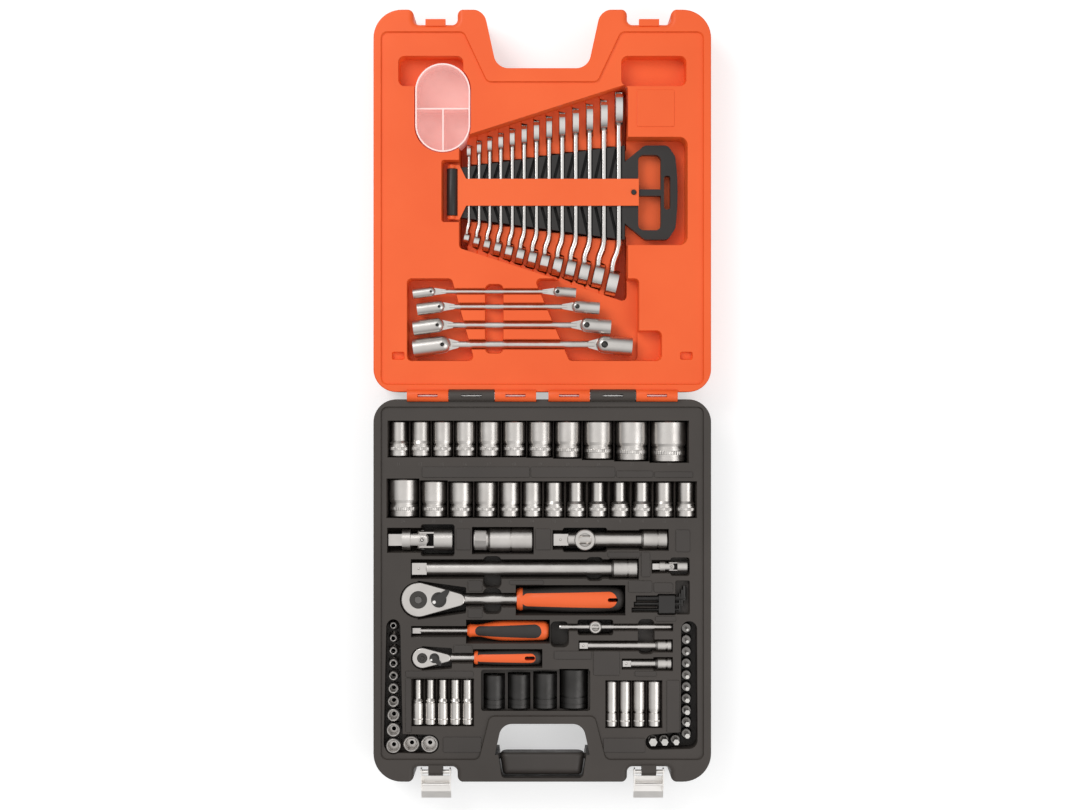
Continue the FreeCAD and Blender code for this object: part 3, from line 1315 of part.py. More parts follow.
def ratchet(name, square, loose_button):
    """A pear-shaped head on a shaft, with its drive, button, reversing lever and two-part grip."""
    size = lambda part: f"{name}_{part}"
    top = f"{size('thickness')} / 2"
    axis_z = f"({TOP} - {size('swell')})"
    spot = (size("x"), size("y"), axis_z)
    tang, tang_length = f"{size('shaft')} * 0.75", f"{size('grip_length')} * 0.25"
    body = new_body(f"{name}_body")
    sketch = sketch_on(body, "head", "XY_Plane")
    slot_outline(sketch, size("head"), size("neck"), size("neck_x"))
    pad(body, sketch, "head", size("thickness"), f"-{top}")
    rounded(body, "head_edges", "ratchet_edge", lambda edge: edge.BoundBox.ZLength < 0.01)
    add(body, "AdditiveCylinder", "shaft", TO_RIGHT, f"{size('neck_x')} - 4", Radius=size("shaft"),
        Height=f"{size('grip_x')} - {size('neck_x')} + 4")
    add(body, "AdditiveCylinder", "tang", TO_RIGHT, f"{size('grip_x')} - 1", Radius=tang,
        Height=f"{tang_length} - 1")
    add(body, "SubtractiveCylinder", "drive_hole", z=f"-{size('thickness')}",
        Radius=f"{size('drive')} + ratchet_play",
        Height=f"2 * {size('thickness')}")
    add(body, "SubtractiveCylinder", "lever_hole", x=size("lever_x"),
        z=f"{top} - ratchet_lever_depth - ratchet_play",
        Radius=f"{size('lever')} + ratchet_play", Height="ratchet_lever_depth + 2")
    place(body, *spot)
    keep(body, f"{name}_body")

    drive = new_body(f"{name}_gear")
    add(drive, "AdditiveCylinder", "gear", z=f"-{top} - 0.8", Radius=size("drive"),
        Height=f"{size('thickness')} + 1.2")
    prism(drive, "Additive", "square", 4, square, f"{size('male')} + 1", z=f"-{top} - 0.8 - {size('male')}")
    add(drive, "SubtractiveCylinder", "button_hole", z=f"{top} - 4.5 - button_travel",
        Height="8 + button_travel",
        Radius=f"{size('button')} + ratchet_play")
    place(drive, *spot)
    button = new_body(f"{name}_button")
    add(button, "AdditiveCylinder", "plunger", z=f"{top} - 4", Radius=size("button"), Height="5.2")
    place(button, *spot)
    if loose_button:
        keep(drive, f"{name}_drive")
        keep(button, f"{name}_button")
    else:
        keep(group(f"{name}_drive_set", [drive, button]), f"{name}_drive")

    lever = new_body(f"{name}_lever")
    add(lever, "AdditiveCylinder", "disc", z=f"{top} - ratchet_lever_depth", Radius=size("lever"),
        Height="ratchet_lever_depth + ratchet_tab_lift + 0.4")
    sketch = sketch_on(lever, "tab", "XY_Plane")
    slot_outline(sketch, f"{size('lever')} * 0.7", f"{size('lever')} * 0.3", size("tab"))
    pad(lever, sketch, "tab", "ratchet_tab_thickness", f"{top} + ratchet_tab_lift")
    place(lever, f"{size('x')} + {size('lever_x')}", size("y"), axis_z,
          Rotation(Vector(0, 0, 1), number(size("tab_turn"))))
    keep(lever, f"{name}_lever")

    blank = grip_blank(f"{name}_grip", size("grip_length"), size("collar"), size("swell"),
                       f"{tang} + pin_fit", f"{tang_length} + pin_fit")
    slot_start, across = f"{size('grip_length')} - hang_slot_inset", f"-{size('swell')} * 2"
    add(blank, "SubtractiveBox", "hang_slot", x=across, y="-hang_slot_half", z=slot_start,
        Length=f"{size('swell')} * 4", Width="2 * hang_slot_half", Height="hang_slot_length")
    for end, shift in (("near", "0"), ("far", "hang_slot_length")):
        add(blank, "SubtractiveCylinder", f"hang_slot_{end}", TO_RIGHT, across, z=f"{slot_start} + {shift}",
            Radius="hang_slot_half", Height=f"{size('swell')} * 4")
    place(blank, f"{size('x')} + {size('grip_x')}", size("y"), axis_z, TO_RIGHT)
    core = new_body(f"{name}_core")
    sketch = sketch_on(core, "stripe", "XY_Plane")
    slot_outline(sketch, f"{size('inlay')} * 0.8", size("inlay"), f"{size('grip_length')} * 0.75")
    pad(core, sketch, "stripe", f"{size('swell')} * 4", f"-{size('swell')} * 2")
    add(core, "AdditiveBox", "collar", x=f"-{size('inlay')} * 1.4 - 1", y=f"-{size('swell')} * 2",
        z=f"-{size('swell')} * 2", Length=f"{size('grip_length')} * 0.055 + 1", Width=f"{size('swell')} * 4",
        Height=f"{size('swell')} * 4")
    place(core, f"{size('x')} + {size('grip_x')} + {size('inlay')} * 1.4", size("y"), axis_z)
    keep(combine("Cut", f"{name}_grip", blank, core), f"{name}_grip")
    keep(combine("Common", f"{name}_inlay", blank, core), f"{name}_inlay")

    centre = point(*spot)
    head, play = number(size("head")), number("tool_clear")
    deep = centre.z - number(top) - 1.1 - number(size("male")) - 0.6
    well_radius = number(square) * 0.72 + 1.0
    base_cavities.append(well(centre.x, centre.y, well_radius, deep, centre.z))
    base_cavities.append(well(centre.x, centre.y, head + play,
                              centre.z - number(top) - number("seat_gap") - 0.8,
                              number("half_height + 1")))
    neck_end = centre + Vector(number(size("neck_x")) + number(size("neck")), 0, 0)
    wide, slim = Vector(0, head + play, 0), Vector(0, number(size("neck")) + play + 5, 0)
    start, end = Vector(centre.x, centre.y, 0), Vector(neck_end.x, centre.y, 0)
    base_cavities.append(basin([start - wide, end - slim, end + slim, start + wide], 2.0,
                               centre.z - number(top) - number("seat_gap"), number("half_height + 1"),
                               number("pocket_flare")))
    grip_start = centre + Vector(number(size("grip_x")), 0, 0)
    grip_end = grip_start + Vector(number(size("grip_length")), 0, 0)
    lay(base_cavities, neck_end, grip_start, size("shaft"))
    lay(base_cavities, grip_start, grip_end, size("swell"))


def spinner():
    """A screwdriver-like handle with a round shaft, its grip of two materials."""
    axis_z = f"({TOP} - spinner_swell)"
    shaft = new_body("spinner_shaft")
    total = "(spinner_shaft_length + spinner_grip_length * 0.3)"
    add(shaft, "AdditiveCylinder", "rod", z="quarter_male", Radius="spinner_shaft",
        Height=f"{total} - quarter_male")
    prism(shaft, "Additive", "drive", 4, "quarter_square * 0.92", "quarter_male + 1")
    place(shaft, "spinner_x", "spinner_y", axis_z, TO_RIGHT)
    keep(shaft, "spinner_shaft")
    blank = new_body("spinner_blank")
    length, front, swell = "spinner_grip_length", "spinner_front", "spinner_swell"
    turned(blank, "form", [
        ("0", "0"), (f"{front} * 0.75", "0"), (front, f"{length} * 0.03"), (front, f"{length} * 0.2"),
        (swell, f"{length} * 0.5"), (f"{swell} * 0.94", f"{length} * 0.92"), (f"{swell} * 0.6", length),
        ("0", length)], {2: f"-{length} * 0.4", 3: crown(f"{length} * 0.3", f"{swell} - {front}"),
                         4: crown(f"{length} * 0.42", f"{swell} * 0.06"), 5: f"{swell} * 0.7"})
    add(blank, "SubtractiveCylinder", "shaft_hole", Radius="spinner_shaft + pin_fit",
        Height=f"{length} * 0.3 + pin_fit")
    start_x = "spinner_x + spinner_shaft_length"
    place(blank, start_x, "spinner_y", axis_z, TO_RIGHT)
    panel = new_body("spinner_panel")
    sketch = sketch_on(panel, "panel", "XY_Plane")
    slot_outline(sketch, "spinner_panel * 0.7", "spinner_panel", "spinner_panel_length")
    pad(panel, sketch, "panel", f"{swell} * 4", f"-{swell} * 2")
    place(panel, f"{start_x} + spinner_panel_x", "spinner_y", axis_z)
    keep(combine("Common", "spinner_grip", blank, panel), "spinner_grip")
    keep(combine("Cut", "spinner_inlay", blank, panel), "spinner_inlay")
    start = point("spinner_x", "spinner_y", axis_z)
    knee = start + Vector(number("spinner_shaft_length"), 0, 0)
    lay(base_cavities, start, knee, "quarter_square * 0.7")
    lay(base_cavities, knee, knee + Vector(number(length), 0, 0), swell)


# Hex keys

def hex_keys():
    """Three angled keys held side by side in a clip."""
    axis_z = f"({TOP} - key_clip_height / 2)"
    clip = new_body("hex_key_clip")
    add(clip, "AdditiveBox", "block", x="-key_clip_length / 2", y="-key_clip_width / 2",
        z="-key_clip_height / 2",
        Length="key_clip_length", Width="key_clip_width", Height="key_clip_height")
    rounded(clip, "edges", "key_clip_height * 0.18", lambda edge: edge.BoundBox.XLength > 1)
    centre_x = "key_clip_x + key_clip_length / 2"
    keys = []
    for index in range(len(SETS["key_flats"])):
        flats = f"key_flats_{index + 1}"
        offset = f"({index} - 1) * key_pitch"
        prism(clip, "Subtractive", f"hole_{index}", 6, f"{flats} + 2 * key_fit", "2 * key_clip_length",
              TO_RIGHT,
              "-key_clip_length", offset)
        key = new_body(f"hex_key_{index + 1}")
        corner = f"(key_corner_x + {index} * key_corner_step)"
        tip = f"(key_left + {index} * key_corner_step)"
        prism(key, "Additive", "long_arm", 6, flats, f"{corner} - {tip} + {flats} / 2", TO_RIGHT, tip)
        prism(key, "Additive", "short_arm", 6, flats, f"key_short - {index} * 2 + {flats} / 2",
              TO_BACK, corner, f"-{flats} / 2")
        place(key, "0", f"key_clip_y + {offset}", axis_z)
        keys.append(key)
        arm = point(tip, f"key_clip_y + {offset}", axis_z)
        lay(base_cavities, arm, point(corner, f"key_clip_y + {offset}", axis_z) + Vector(4, 0, 0),
            f"{flats} * 0.6")
    place(clip, centre_x, "key_clip_y", axis_z)
    middle = point(centre_x, "key_clip_y", axis_z)
    room, half_x, half_y = number("tool_clear"), number("key_clip_length / 2"), number("key_clip_width / 2")
    floor = middle.z - number("key_clip_height / 2 + seat_gap")
    clear_under(base_cavities, middle.x - half_x - room, middle.x + half_x + room, middle.y - half_y - room,
                middle.y + half_y + room, floor, 2.0)
    corner_x = number("key_corner_x")
    clear_under(base_cavities, corner_x - 4, corner_x + 2 * number("key_corner_step") + 5,
                middle.y - half_y, middle.y + number("key_short + key_pitch") + 1, middle.z - 4, 2.0)
    keep(clip, "hex_key_clip")
    keep(group("hex_keys", keys), "hex_keys")


# Storage box

def storage_box():
    """An oblong clear box with a cross wall and a half wall, and its clear cover."""
    foot = f"({TOP} - box_cover - seat_gap - box_height)"
    x, y = "box_x", f"({LID_CENTRE} + box_y)"
    body = new_body("storage_box")
    shell = sketch_on(body, "wall", "XY_Plane")
    slot_outline(shell, "box_half_width", "box_half_width", "box_long")
    pad(body, shell, "wall", "box_height")
    hollow = sketch_on(body, "hollow", "XY_Plane")
    slot_outline(hollow, "box_half_width - box_wall", "box_half_width - box_wall", "box_long")
    bind(hollow, **{"AttachmentOffset.Base.z": "box_wall"})
    pocket = body.newObject("PartDesign::Pocket", "storage_box_hollow")
    pocket.Profile = hollow
    pocket.Reversed = True
    bind(pocket, Length="box_height")
    add(body, "AdditiveBox", "cross_wall", x="box_long / 2 - box_wall / 2",
        y="-box_half_width + box_wall / 2",
        z="box_wall / 2", Length="box_wall", Width="2 * box_half_width - box_wall", Height="box_divider")
    add(body, "AdditiveBox", "half_wall", x="-box_half_width + box_wall / 2", y="-box_wall / 2",
        z="box_wall / 2",
        Length="box_long / 2 + box_half_width - box_wall", Width="box_wall", Height="box_divider")
    place(body, x, f"{y} - box_long / 2", foot, QUARTER_TURN)
    keep(body, "storage_box")
    cover = new_body("storage_box_cover")
    top = sketch_on(cover, "plate", "XY_Plane")
    slot_outline(top, "box_half_width", "box_half_width", "box_long")
    pad(cover, top, "plate", "box_cover")
    lip = sketch_on(cover, "lip", "XY_Plane")
    lip_radius = "box_half_width - box_wall - box_cover_play"
    slot_outline(lip, lip_radius, lip_radius, "box_long")
    pad(cover, lip, "lip", "box_cover_lip + seat_gap", "-box_cover_lip - seat_gap")
    place(cover, x, f"{y} - box_long / 2", f"{TOP} - box_cover", QUARTER_TURN)
    keep(cover, "storage_box_cover")
    room = number("box_half_width + tool_clear")
    centre = point(x, y)
    half_long = number("box_long / 2")
    floor = number(foot) - number("seat_gap")
    corners = [centre + Vector(a * room, b * (half_long + room), 0)
               for a, b in ((-1, -1), (1, -1), (1, 1), (-1, 1))]
    lid_cavities.append(basin(corners, room * 0.98, floor, number("half_height + 1"), 0.5))
    for left, right in ((centre.x - 1.55 * room, centre.x + 0.7 * room),
                        (-centre.x - 0.7 * room, -centre.x + 1.55 * room)):
        clear_under(lid_cavities, left, right, centre.y + half_long + 0.2 * room,
                    centre.y + half_long + 1.2 * room, number(DECK) - 18.0, 7.0)


# Wrench rack, its band and the combination wrenches

RACK_Y = f"({LID_CENTRE} + rack_y)"
BAND_LOW = "(rack_comb_top + band_gap)"
BAND_AXIS_Z = f"({BAND_LOW} + band_thickness / 2)"


def wrench_size(kind, index):
    """A size of a combination wrench, which grows with its width across flats."""
    return f"({kind}_per * wrench_flats_{index} + {kind}_extra)"


def wrench_places():
    """The wrenches' places across the rack, spaced by their ring ends."""
    x = number("wrench_left")
    places = [x]
    for index in range(2, len(SETS["wrench_flats"]) + 1):
        x += (number(wrench_size("ring_thick", index - 1)) + number(wrench_size("ring_thick", index))) / 2
        x += number("wrench_gap")
        places.append(x)
    return places


def cranked_strip(body, thick, height, top, bottom, straight, offset, run):
    """A flat bar on edge that shifts sideways by an S-bend near its lower end."""
    radius = f"(({run} ^ 2 + {offset} ^ 2) / (4 * {offset}))"
    lean_x, lean_y = f"({run} / 2 / {radius})", f"(1 - {offset} / 2 / {radius})"
    low, high, half = f"({bottom} + {straight})", f"({bottom} + {straight} + {run})", f"{thick} / 2"
    middle = f"({bottom} + {straight} + {run} / 2)"
    inner, outer = f"({radius} - {half})", f"({radius} + {half})"
    sketch = sketch_on(body, "shank", "XY_Plane")
    outline(sketch, [
        (f"-{offset} + {half}", bottom), (f"-{offset} + {half}", low),
        (f"-{offset} / 2 + {lean_y} * {half}", f"{middle} - {lean_x} * {half}"), (half, high), (half, top),
        (f"-{half}", top), (f"-{half}", high),
        (f"-{offset} / 2 - {lean_y} * {half}", f"{middle} + {lean_x} * {half}"),
        (f"-{offset} - {half}", low), (f"-{offset} - {half}", bottom)],
        {1: f"-{inner}", 2: outer, 6: f"-{inner}", 7: outer})
    bar = body.newObject("PartDesign::Pad", f"{body.Name}_shank")
    bar.Profile = sketch
    bar.Midplane = True
    bind(bar, Length=height)


def combination_wrenches():
    """Wrenches standing on edge: open jaw to the front of the lid, cranked ring end to its back."""
    wrenches = []
    for index, x in enumerate(wrench_places(), start=1):
        body = new_body(f"wrench_{index}")
        flats = f"wrench_flats_{index}"
        length, height = wrench_size("wrench_length", index), wrench_size("shank_height", index)
        thick = wrench_size("shank_thick", index)
        jaw, jaw_thick = wrench_size("jaw_width", index), wrench_size("jaw_thick", index)
        loop, loop_thick = wrench_size("ring_width", index), wrench_size("ring_thick", index)
        jaw_y, loop_y = f"({length} / 2 - {jaw} * 0.42)", f"(-{length} / 2 + {loop} / 2)"
        offset = f"({loop} * wrench_crank)"
        cranked_strip(body, thick, height, jaw_y, loop_y, f"({loop} * 0.45)", offset,
                      f"({length} * wrench_crank_run)")
        rounded(body, "shank_edges", f"{thick} * 0.4",
                lambda edge: edge.BoundBox.ZLength < 0.01 and edge.BoundBox.YLength > 1)
        add(body, "AdditiveCylinder", "jaw", TO_RIGHT, f"-{jaw_thick} / 2", jaw_y, Radius=f"{jaw} / 2",
            Height=jaw_thick)
        crank = Rotation(Vector(0, 0, 1), number("ring_turn"))
        shift = crank.multVec(Vector(-number(loop_thick) / 2, 0, 0))
        add(body, "AdditiveCylinder", "loop", crank.multiply(TO_RIGHT), f"{shift.x} - {offset}",
            f"{loop_y} + {shift.y}", Radius=f"{loop} / 2", Height=loop_thick)
        add(body, "SubtractiveBox", "jaw_slot", Rotation(Vector(1, 0, 0), number("jaw_turn")), f"-{jaw}",
            f"{jaw_y} - {flats} * 0.42 * cos(jaw_turn * 1 deg) + {flats} / 2 * sin(jaw_turn * 1 deg)",
            f"-{flats} / 2 * cos(jaw_turn * 1 deg) - {flats} * 0.42 * sin(jaw_turn * 1 deg)",
            Length=f"2 * {jaw}", Width=jaw, Height=flats)
        reach = crank.multVec(Vector(-number(loop), 0, 0))
        prism(body, "Subtractive", "loop_hole", 12, f"{flats} * 1.04", f"2 * {loop}",
              crank.multiply(TO_RIGHT),
              f"{reach.x} - {offset}", f"{loop_y} + {reach.y}")
        body.Placement = Placement(Vector(x, number(f"{RACK_Y} - 2"),
                                          number(f"rack_comb_top - {height} / 2")), UP)
        wrenches.append(body)
    keep(group("combination_wrenches", wrenches), "combination_wrenches")


def fin_gaps(body):
    """Slanting gaps that part the comb into fins, from the strap outwards on both sides."""
    places = wrench_places()
    slope = number("(rack_half_right - rack_half_left) / (rack_right - rack_left)")
    for index, (x, following) in enumerate(zip(places, places[1:]), start=1):
        half = number("rack_half_left") + slope * (x - number("rack_left"))
        run = half - number("band_half")
        angle = math.degrees(math.atan2((following - x) * 0.45, run))
        for side, turn, start in (("back", -angle, "0"), ("front", angle, "-2 * rack_half_right")):
            edge = "band_half + 1.5" if side == "back" else "-band_half - 1.5"
            spin = Rotation(Vector(0, 0, 1), turn)
            shift = spin.multVec(Vector(0, number(start), 0))
            add(body, "SubtractiveBox", f"fin_gap_{side}_{index}", spin,
                f"{x + (following - x) * 0.3 + shift.x}",
                f"{edge} + {shift.y}", "rack_comb_top - rack_fin_depth", Length="rack_fin_gap",
                Width="2 * rack_half_right", Height="rack_fin_depth + 1")


def wrench_rack():
    """A comb that holds the wrenches on edge, with a hand grip at its right and a hinge bar at its left."""
    body = new_body("wrench_rack")
    comb = sketch_on(body, "comb", "XY_Plane")
    outline(comb, [("rack_left", "-rack_half_left"), ("rack_right", "-rack_half_right"),
                   ("rack_right", "rack_half_right"), ("rack_left", "rack_half_left")])
    pad(body, comb, "comb", "rack_comb_top - rack_floor", "rack_floor")
    grip = sketch_on(body, "grip", "XY_Plane")
    near, half = "(rack_right - 2)", "rack_half_right"
    outline(grip, [(near, f"-{half} * 0.62"), (f"{near} + 24", f"-{half}"), (f"{near} + 50", f"-{half}"),
                   (f"{near} + 58", f"-{half} * 0.76"), (f"{near} + 58", f"{half} * 0.76"),
                   (f"{near} + 50", half), (f"{near} + 24", half), (near, f"{half} * 0.62")],
            {3: f"{half} * 6"})
    pad(body, grip, "grip", "rack_handle_drop", "rack_comb_top - rack_handle_drop")
    rounded(body, "grip_corners", "rack_grip_round",
            upright_edge(x=[f"{near} + 24", f"{near} + 50", f"{near} + 58"]))
    for side, start in (("front", "-rack_half_right * 0.8"), ("back", "rack_peg_half")):
        add(body, "SubtractiveBox", f"finger_gap_{side}", x=f"{near} + 17", y=start, z="rack_floor",
            Length="25", Width="rack_half_right * 0.8 - rack_peg_half", Height="rack_comb_top")
    edges = [f"{near} + 17", f"{near} + 42"]
    rounded(body, "finger_corners", "6", upright_edge(x=edges,
                                                      y=["-rack_half_right * 0.8", "rack_half_right * 0.8"]))
    add(body, "SubtractiveBox", "grip_window", x=f"{near} + 45.5", y="-rack_half_right * 0.36",
        z="rack_floor",
        Length="7", Width="rack_half_right * 0.72", Height="rack_comb_top")
    rounded(body, "window_corners", "3", upright_edge(x=[f"{near} + 45.5", f"{near} + 52.5"]))
    for index, x in enumerate(wrench_places(), start=1):
        thick, height = wrench_size("shank_thick", index), wrench_size("shank_height", index)
        add(body, "SubtractiveBox", f"slot_{index}", x=f"{x} - {thick} / 2 - rack_slot_play",
            y="-2 * rack_half_right",
            z=f"rack_comb_top - {height} - seat_gap", Length=f"{thick} + 2 * rack_slot_play",
            Width="4 * rack_half_right", Height=f"{height} + 10")
    fin_gaps(body)
    add(body, "AdditiveCylinder", "knob", x="rack_knob_x", z="rack_comb_top - 1", Radius="rack_knob_radius",
        Height="rack_knob_rise + 1")
    bar_half = "(band_fork_half - band_arm - rack_bar_play)"
    band_axis = f"({BAND_AXIS_Z})"
    add(body, "AdditiveBox", "neck", x="band_axis_x", y=f"-{bar_half} * 0.8", z="rack_comb_top - 4",
        Length="rack_left - band_axis_x + 2", Width=f"{bar_half} * 1.6", Height="3.6")
    add(body, "AdditiveCylinder", "bar", TO_FRONT, "band_axis_x", bar_half, band_axis,
        Radius="rack_bar_radius",
        Height=f"2 * {bar_half}")
    add(body, "AdditiveCylinder", "journal", TO_FRONT, "band_axis_x", "band_fork_half", band_axis,
        Radius="rack_journal", Height="2 * band_fork_half")
    place(body, "0", RACK_Y)
    keep(body, "wrench_rack")


def rack_band():
    """A flat strap over the wrenches, forked round the hinge bar and holed for the rack's knob."""
    body = new_body("rack_band")
    strap = sketch_on(body, "strap", "XY_Plane")
    arm = "band_fork_half - band_arm"
    outline(strap, [
        ("band_right", "-band_half"), ("band_right", "band_half"), ("band_flare_x", "band_half"),
        ("band_fork_x + 2", "band_fork_half"), ("band_left", "band_fork_half"), ("band_left", arm),
        ("band_fork_x", arm), ("band_fork_x", f"-({arm})"), ("band_left", f"-({arm})"),
        ("band_left", "-band_fork_half"), ("band_fork_x + 2", "-band_fork_half"),
        ("band_flare_x", "-band_half")])
    pad(body, strap, "strap", "band_thickness", BAND_LOW)
    for side, start in (("back", "band_fork_half"), ("front", f"-({arm})")):
        add(body, "AdditiveCylinder", f"eye_{side}", TO_FRONT, "band_axis_x", start, BAND_AXIS_Z,
            Radius="band_eye",
            Height="band_arm")
    add(body, "SubtractiveCylinder", "pivot", TO_FRONT, "band_axis_x", "2 * band_fork_half", BAND_AXIS_Z,
        Radius="rack_journal + pin_play", Height="4 * band_fork_half")
    add(body, "SubtractiveCylinder", "knob_hole", x="rack_knob_x", Radius="rack_knob_radius + pin_play",
        Height="half_height")
    place(body, "0", RACK_Y)
    keep(body, "rack_band")


def rack_hollows():
    """Room for the rack's comb, its two ends, and the two ends of the wrenches."""
    places = wrench_places()
    last = len(places)
    centre = number(RACK_Y)
    top, play = number("half_height + 1"), number("tool_clear")
    comb_floor = number("rack_floor - seat_gap")
    head_floor = number(f"rack_comb_top - {wrench_size('shank_height', last)} / 2")
    head_floor -= number(wrench_size("jaw_width", last)) / 2 + 1.6

    def reach(index):
        return number(wrench_size("wrench_length", index)) / 2

    left, right = places[0] - 9, places[-1] + 8
    low_left, low_right = number("rack_half_left"), number("rack_half_right")
    lid_cavities.append(basin([
        Vector(number("rack_left") - 1.5, centre - low_left - 1.2),
        Vector(number("rack_right") + 1, centre - low_right - 1.2),
        Vector(number("rack_right") + 1, centre + low_right + 1.2),
        Vector(number("rack_left") - 1.5, centre + low_left + 1.2)],
        2.0, comb_floor, top, 1.0))
    for side in (-1, 1):
        near_left, near_right = centre + side * (low_left - 6), centre + side * (low_right - 6)
        far_left, far_right = centre - 2 + side * (reach(1) + 6), centre - 2 + side * (reach(last) + 6)
        corners = [Vector(left, near_left), Vector(right, near_right), Vector(right, far_right),
                   Vector(left, far_left)]
        if side < 0:
            corners.reverse()
        lid_cavities.append(basin(corners, 5.0, head_floor, top, 1.5))
    handle_floor = number("rack_comb_top - rack_handle_drop - seat_gap")
    clear_under(lid_cavities, number("rack_right") - 6, number("rack_right + 67"), centre - low_right - 6,
                centre + low_right + 6, handle_floor, 9.0)
    clear_under(lid_cavities, number("band_axis_x - rack_bar_radius") - 4, number("rack_left") + 4,
                centre - number("band_fork_half") - 2.5, centre + number("band_fork_half") + 2.5,
                number(f"{BAND_AXIS_Z} - rack_bar_radius") - play, 3.0)
    strip = number("band_half") + 2
    clear_under(lid_cavities, number("rack_left"), number("rack_right") + 20, centre - strip, centre + strip,
                number("rack_comb_top") - 2, 3.0)


# Flex-head wrenches

def flex_head(label, index, reach, turn, pin, pin_x, y, axis_z):
    """A socket on a ball-shaped fork, pointing left of its pin before it is turned."""
    body = new_body(label)
    od, tongue = f"flex_od_{index}", f"(flex_od_{index} * flex_tongue_share)"
    radius = f"{od} / 2"
    add(body, "AdditiveCylinder", "barrel", TO_LEFT, Radius=radius, Height=reach)
    add(body, "AdditiveSphere", "ball", Radius=radius)
    add(body, "SubtractiveBox", "slot", x=f"-{radius} * 1.02", y=f"-{od}", z=f"-{tongue} / 2 - flex_play",
        Length=f"2 * {od}", Width=f"2 * {od}", Height=f"{tongue} + 2 * flex_play")
    add(body, "SubtractiveCylinder", "eye", z=f"-{od}", Radius=f"{od} * {pin} + flex_play",
        Height=f"2 * {od}")
    prism(body, "Subtractive", "hexagon", 6, f"flex_flats_{index}", f"{reach} - {radius} - 3", TO_RIGHT,
          f"-({reach})")
    body.Placement = Placement(Vector(), Rotation(Vector(0, 0, 1), turn))
    bind(body, x=pin_x, y=y, z=axis_z)
    keep(body, label)


def flex_wrench(index):
    """A rod whose flat tongues carry a swivelling socket head at each end."""
    od, rod = f"flex_od_{index}", f"(flex_od_{index} * flex_rod_share / 2)"
    tongue = f"(flex_od_{index} * flex_tongue_share)"
    left, right = f"flex_left_{index}", f"flex_right_{index}"
    y, axis_z = f"({LID_CENTRE} + flex_y_{index})", f"({TOP} - {od} / 2)"
    shaft = new_body(f"flex_shaft_{index}")
    add(shaft, "AdditiveCylinder", "rod", TO_RIGHT, f"{left} + flex_web - 4", Radius=rod,
        Height=f"{right} - {left} - 2 * flex_web + 8")
    eye = f"({od} * 0.4)"
    pieces = [shaft]
    for end, pin_x, turn in (("left", left, UP), ("right", right, Rotation(Vector(0, 0, 1), 180))):
        pin_radius = f"{od} * flex_pin_{end}_share"
        web = new_body(f"flex_tongue_{end}_{index}")
        sketch = sketch_on(web, "plate", "XY_Plane")
        slot_outline(sketch, eye, rod, "flex_web")
        pad(web, sketch, "plate", tongue, f"-{tongue} / 2")
        add(web, "SubtractiveCylinder", "eye", z=f"-{od}", Radius=f"{pin_radius} + pin_fit",
            Height=f"2 * {od}")
        place(web, pin_x, "0", "0", turn)
        pin = new_body(f"flex_pin_{end}_{index}")
        add(pin, "AdditiveCylinder", "rivet", z=f"-{od} * flex_pin_half_share", Radius=pin_radius,
            Height=f"{od} * flex_pin_half_share * 2")
        place(pin, pin_x, y, axis_z)
        pieces.append(web)
        pieces.append(pin)
    rod_set = doc.addObject("Part::MultiFuse", f"flex_rod_{index}")
    rod_set.Shapes = [pieces[0], pieces[1], pieces[3]]
    place(rod_set, "0", y, axis_z)
    keep(group(f"flex_wrench_{index}", [rod_set, pieces[2], pieces[4]]), f"flex_wrench_{index}")
    left_turn, right_turn = number("flex_head_left_turn"), number("flex_head_right_turn")
    flex_head(f"flex_head_left_{index}", index, f"flex_left_reach_{index}", left_turn,
              "flex_pin_left_share", left, y, axis_z)
    flex_head(f"flex_head_right_{index}", index, f"flex_right_reach_{index}", 180 + right_turn,
              "flex_pin_right_share", right, y, axis_z)
    middle = point(f"({left} + {right}) / 2", y, axis_z)
    lay(lid_cavities, middle - Vector(90, 0, 0), middle + Vector(60, 0, 0), rod)


def flex_hollows():
    """The two shared hollows that the swivel heads of the flex wrenches lie in, with finger room between."""
    count = len(SETS["flex_y"])
    floor = number(f"{TOP} - flex_od_{count} - seat_gap")
    top, flare = number("half_height + 1"), number("pocket_flare")
    back = number(f"{LID_CENTRE} + flex_y_1") + 13
    front = number(f"{LID_CENTRE} + flex_y_{count}") - 17
    left = min(number(f"flex_left_{i} - flex_left_reach_{i}") for i in range(1, count + 1)) - 5
    first_pin, last_pin = number("flex_left_1"), number(f"flex_left_{count}")
    lid_cavities.append(basin([Vector(left, front), Vector(last_pin + 34, front),
                               Vector(first_pin + 22, back),
                               Vector(left, back)], 5.0, floor, top, flare))
    right = max(number(f"flex_right_{i} + flex_right_reach_{i}") for i in range(1, count + 1)) + 6
    first_pin, last_pin = number("flex_right_1"), number(f"flex_right_{count}")
    lid_cavities.append(basin([Vector(last_pin - 38, front), Vector(right, front), Vector(right, back),
                               Vector(first_pin - 24, back)], 5.0, floor, top, flare))
    clear_under(lid_cavities, right - 6, right + 25, front, front + 31, number(DECK) - 16.0, 6.0)
    for side in (-1, 1):
        catch = side * number("case_width / 2 - 3 * rim_width")
        clear_under(lid_cavities, catch - 6, catch + 6, front + 1, front + 8, number(DECK) - 5.0, 2.0)
    middle = (number("flex_left_1") + number("flex_right_1")) / 2
    clear_under(lid_cavities, middle - 9, middle + 9, front + 8, back - 6,
                number(DECK) - number("flex_depth"), 6.0)


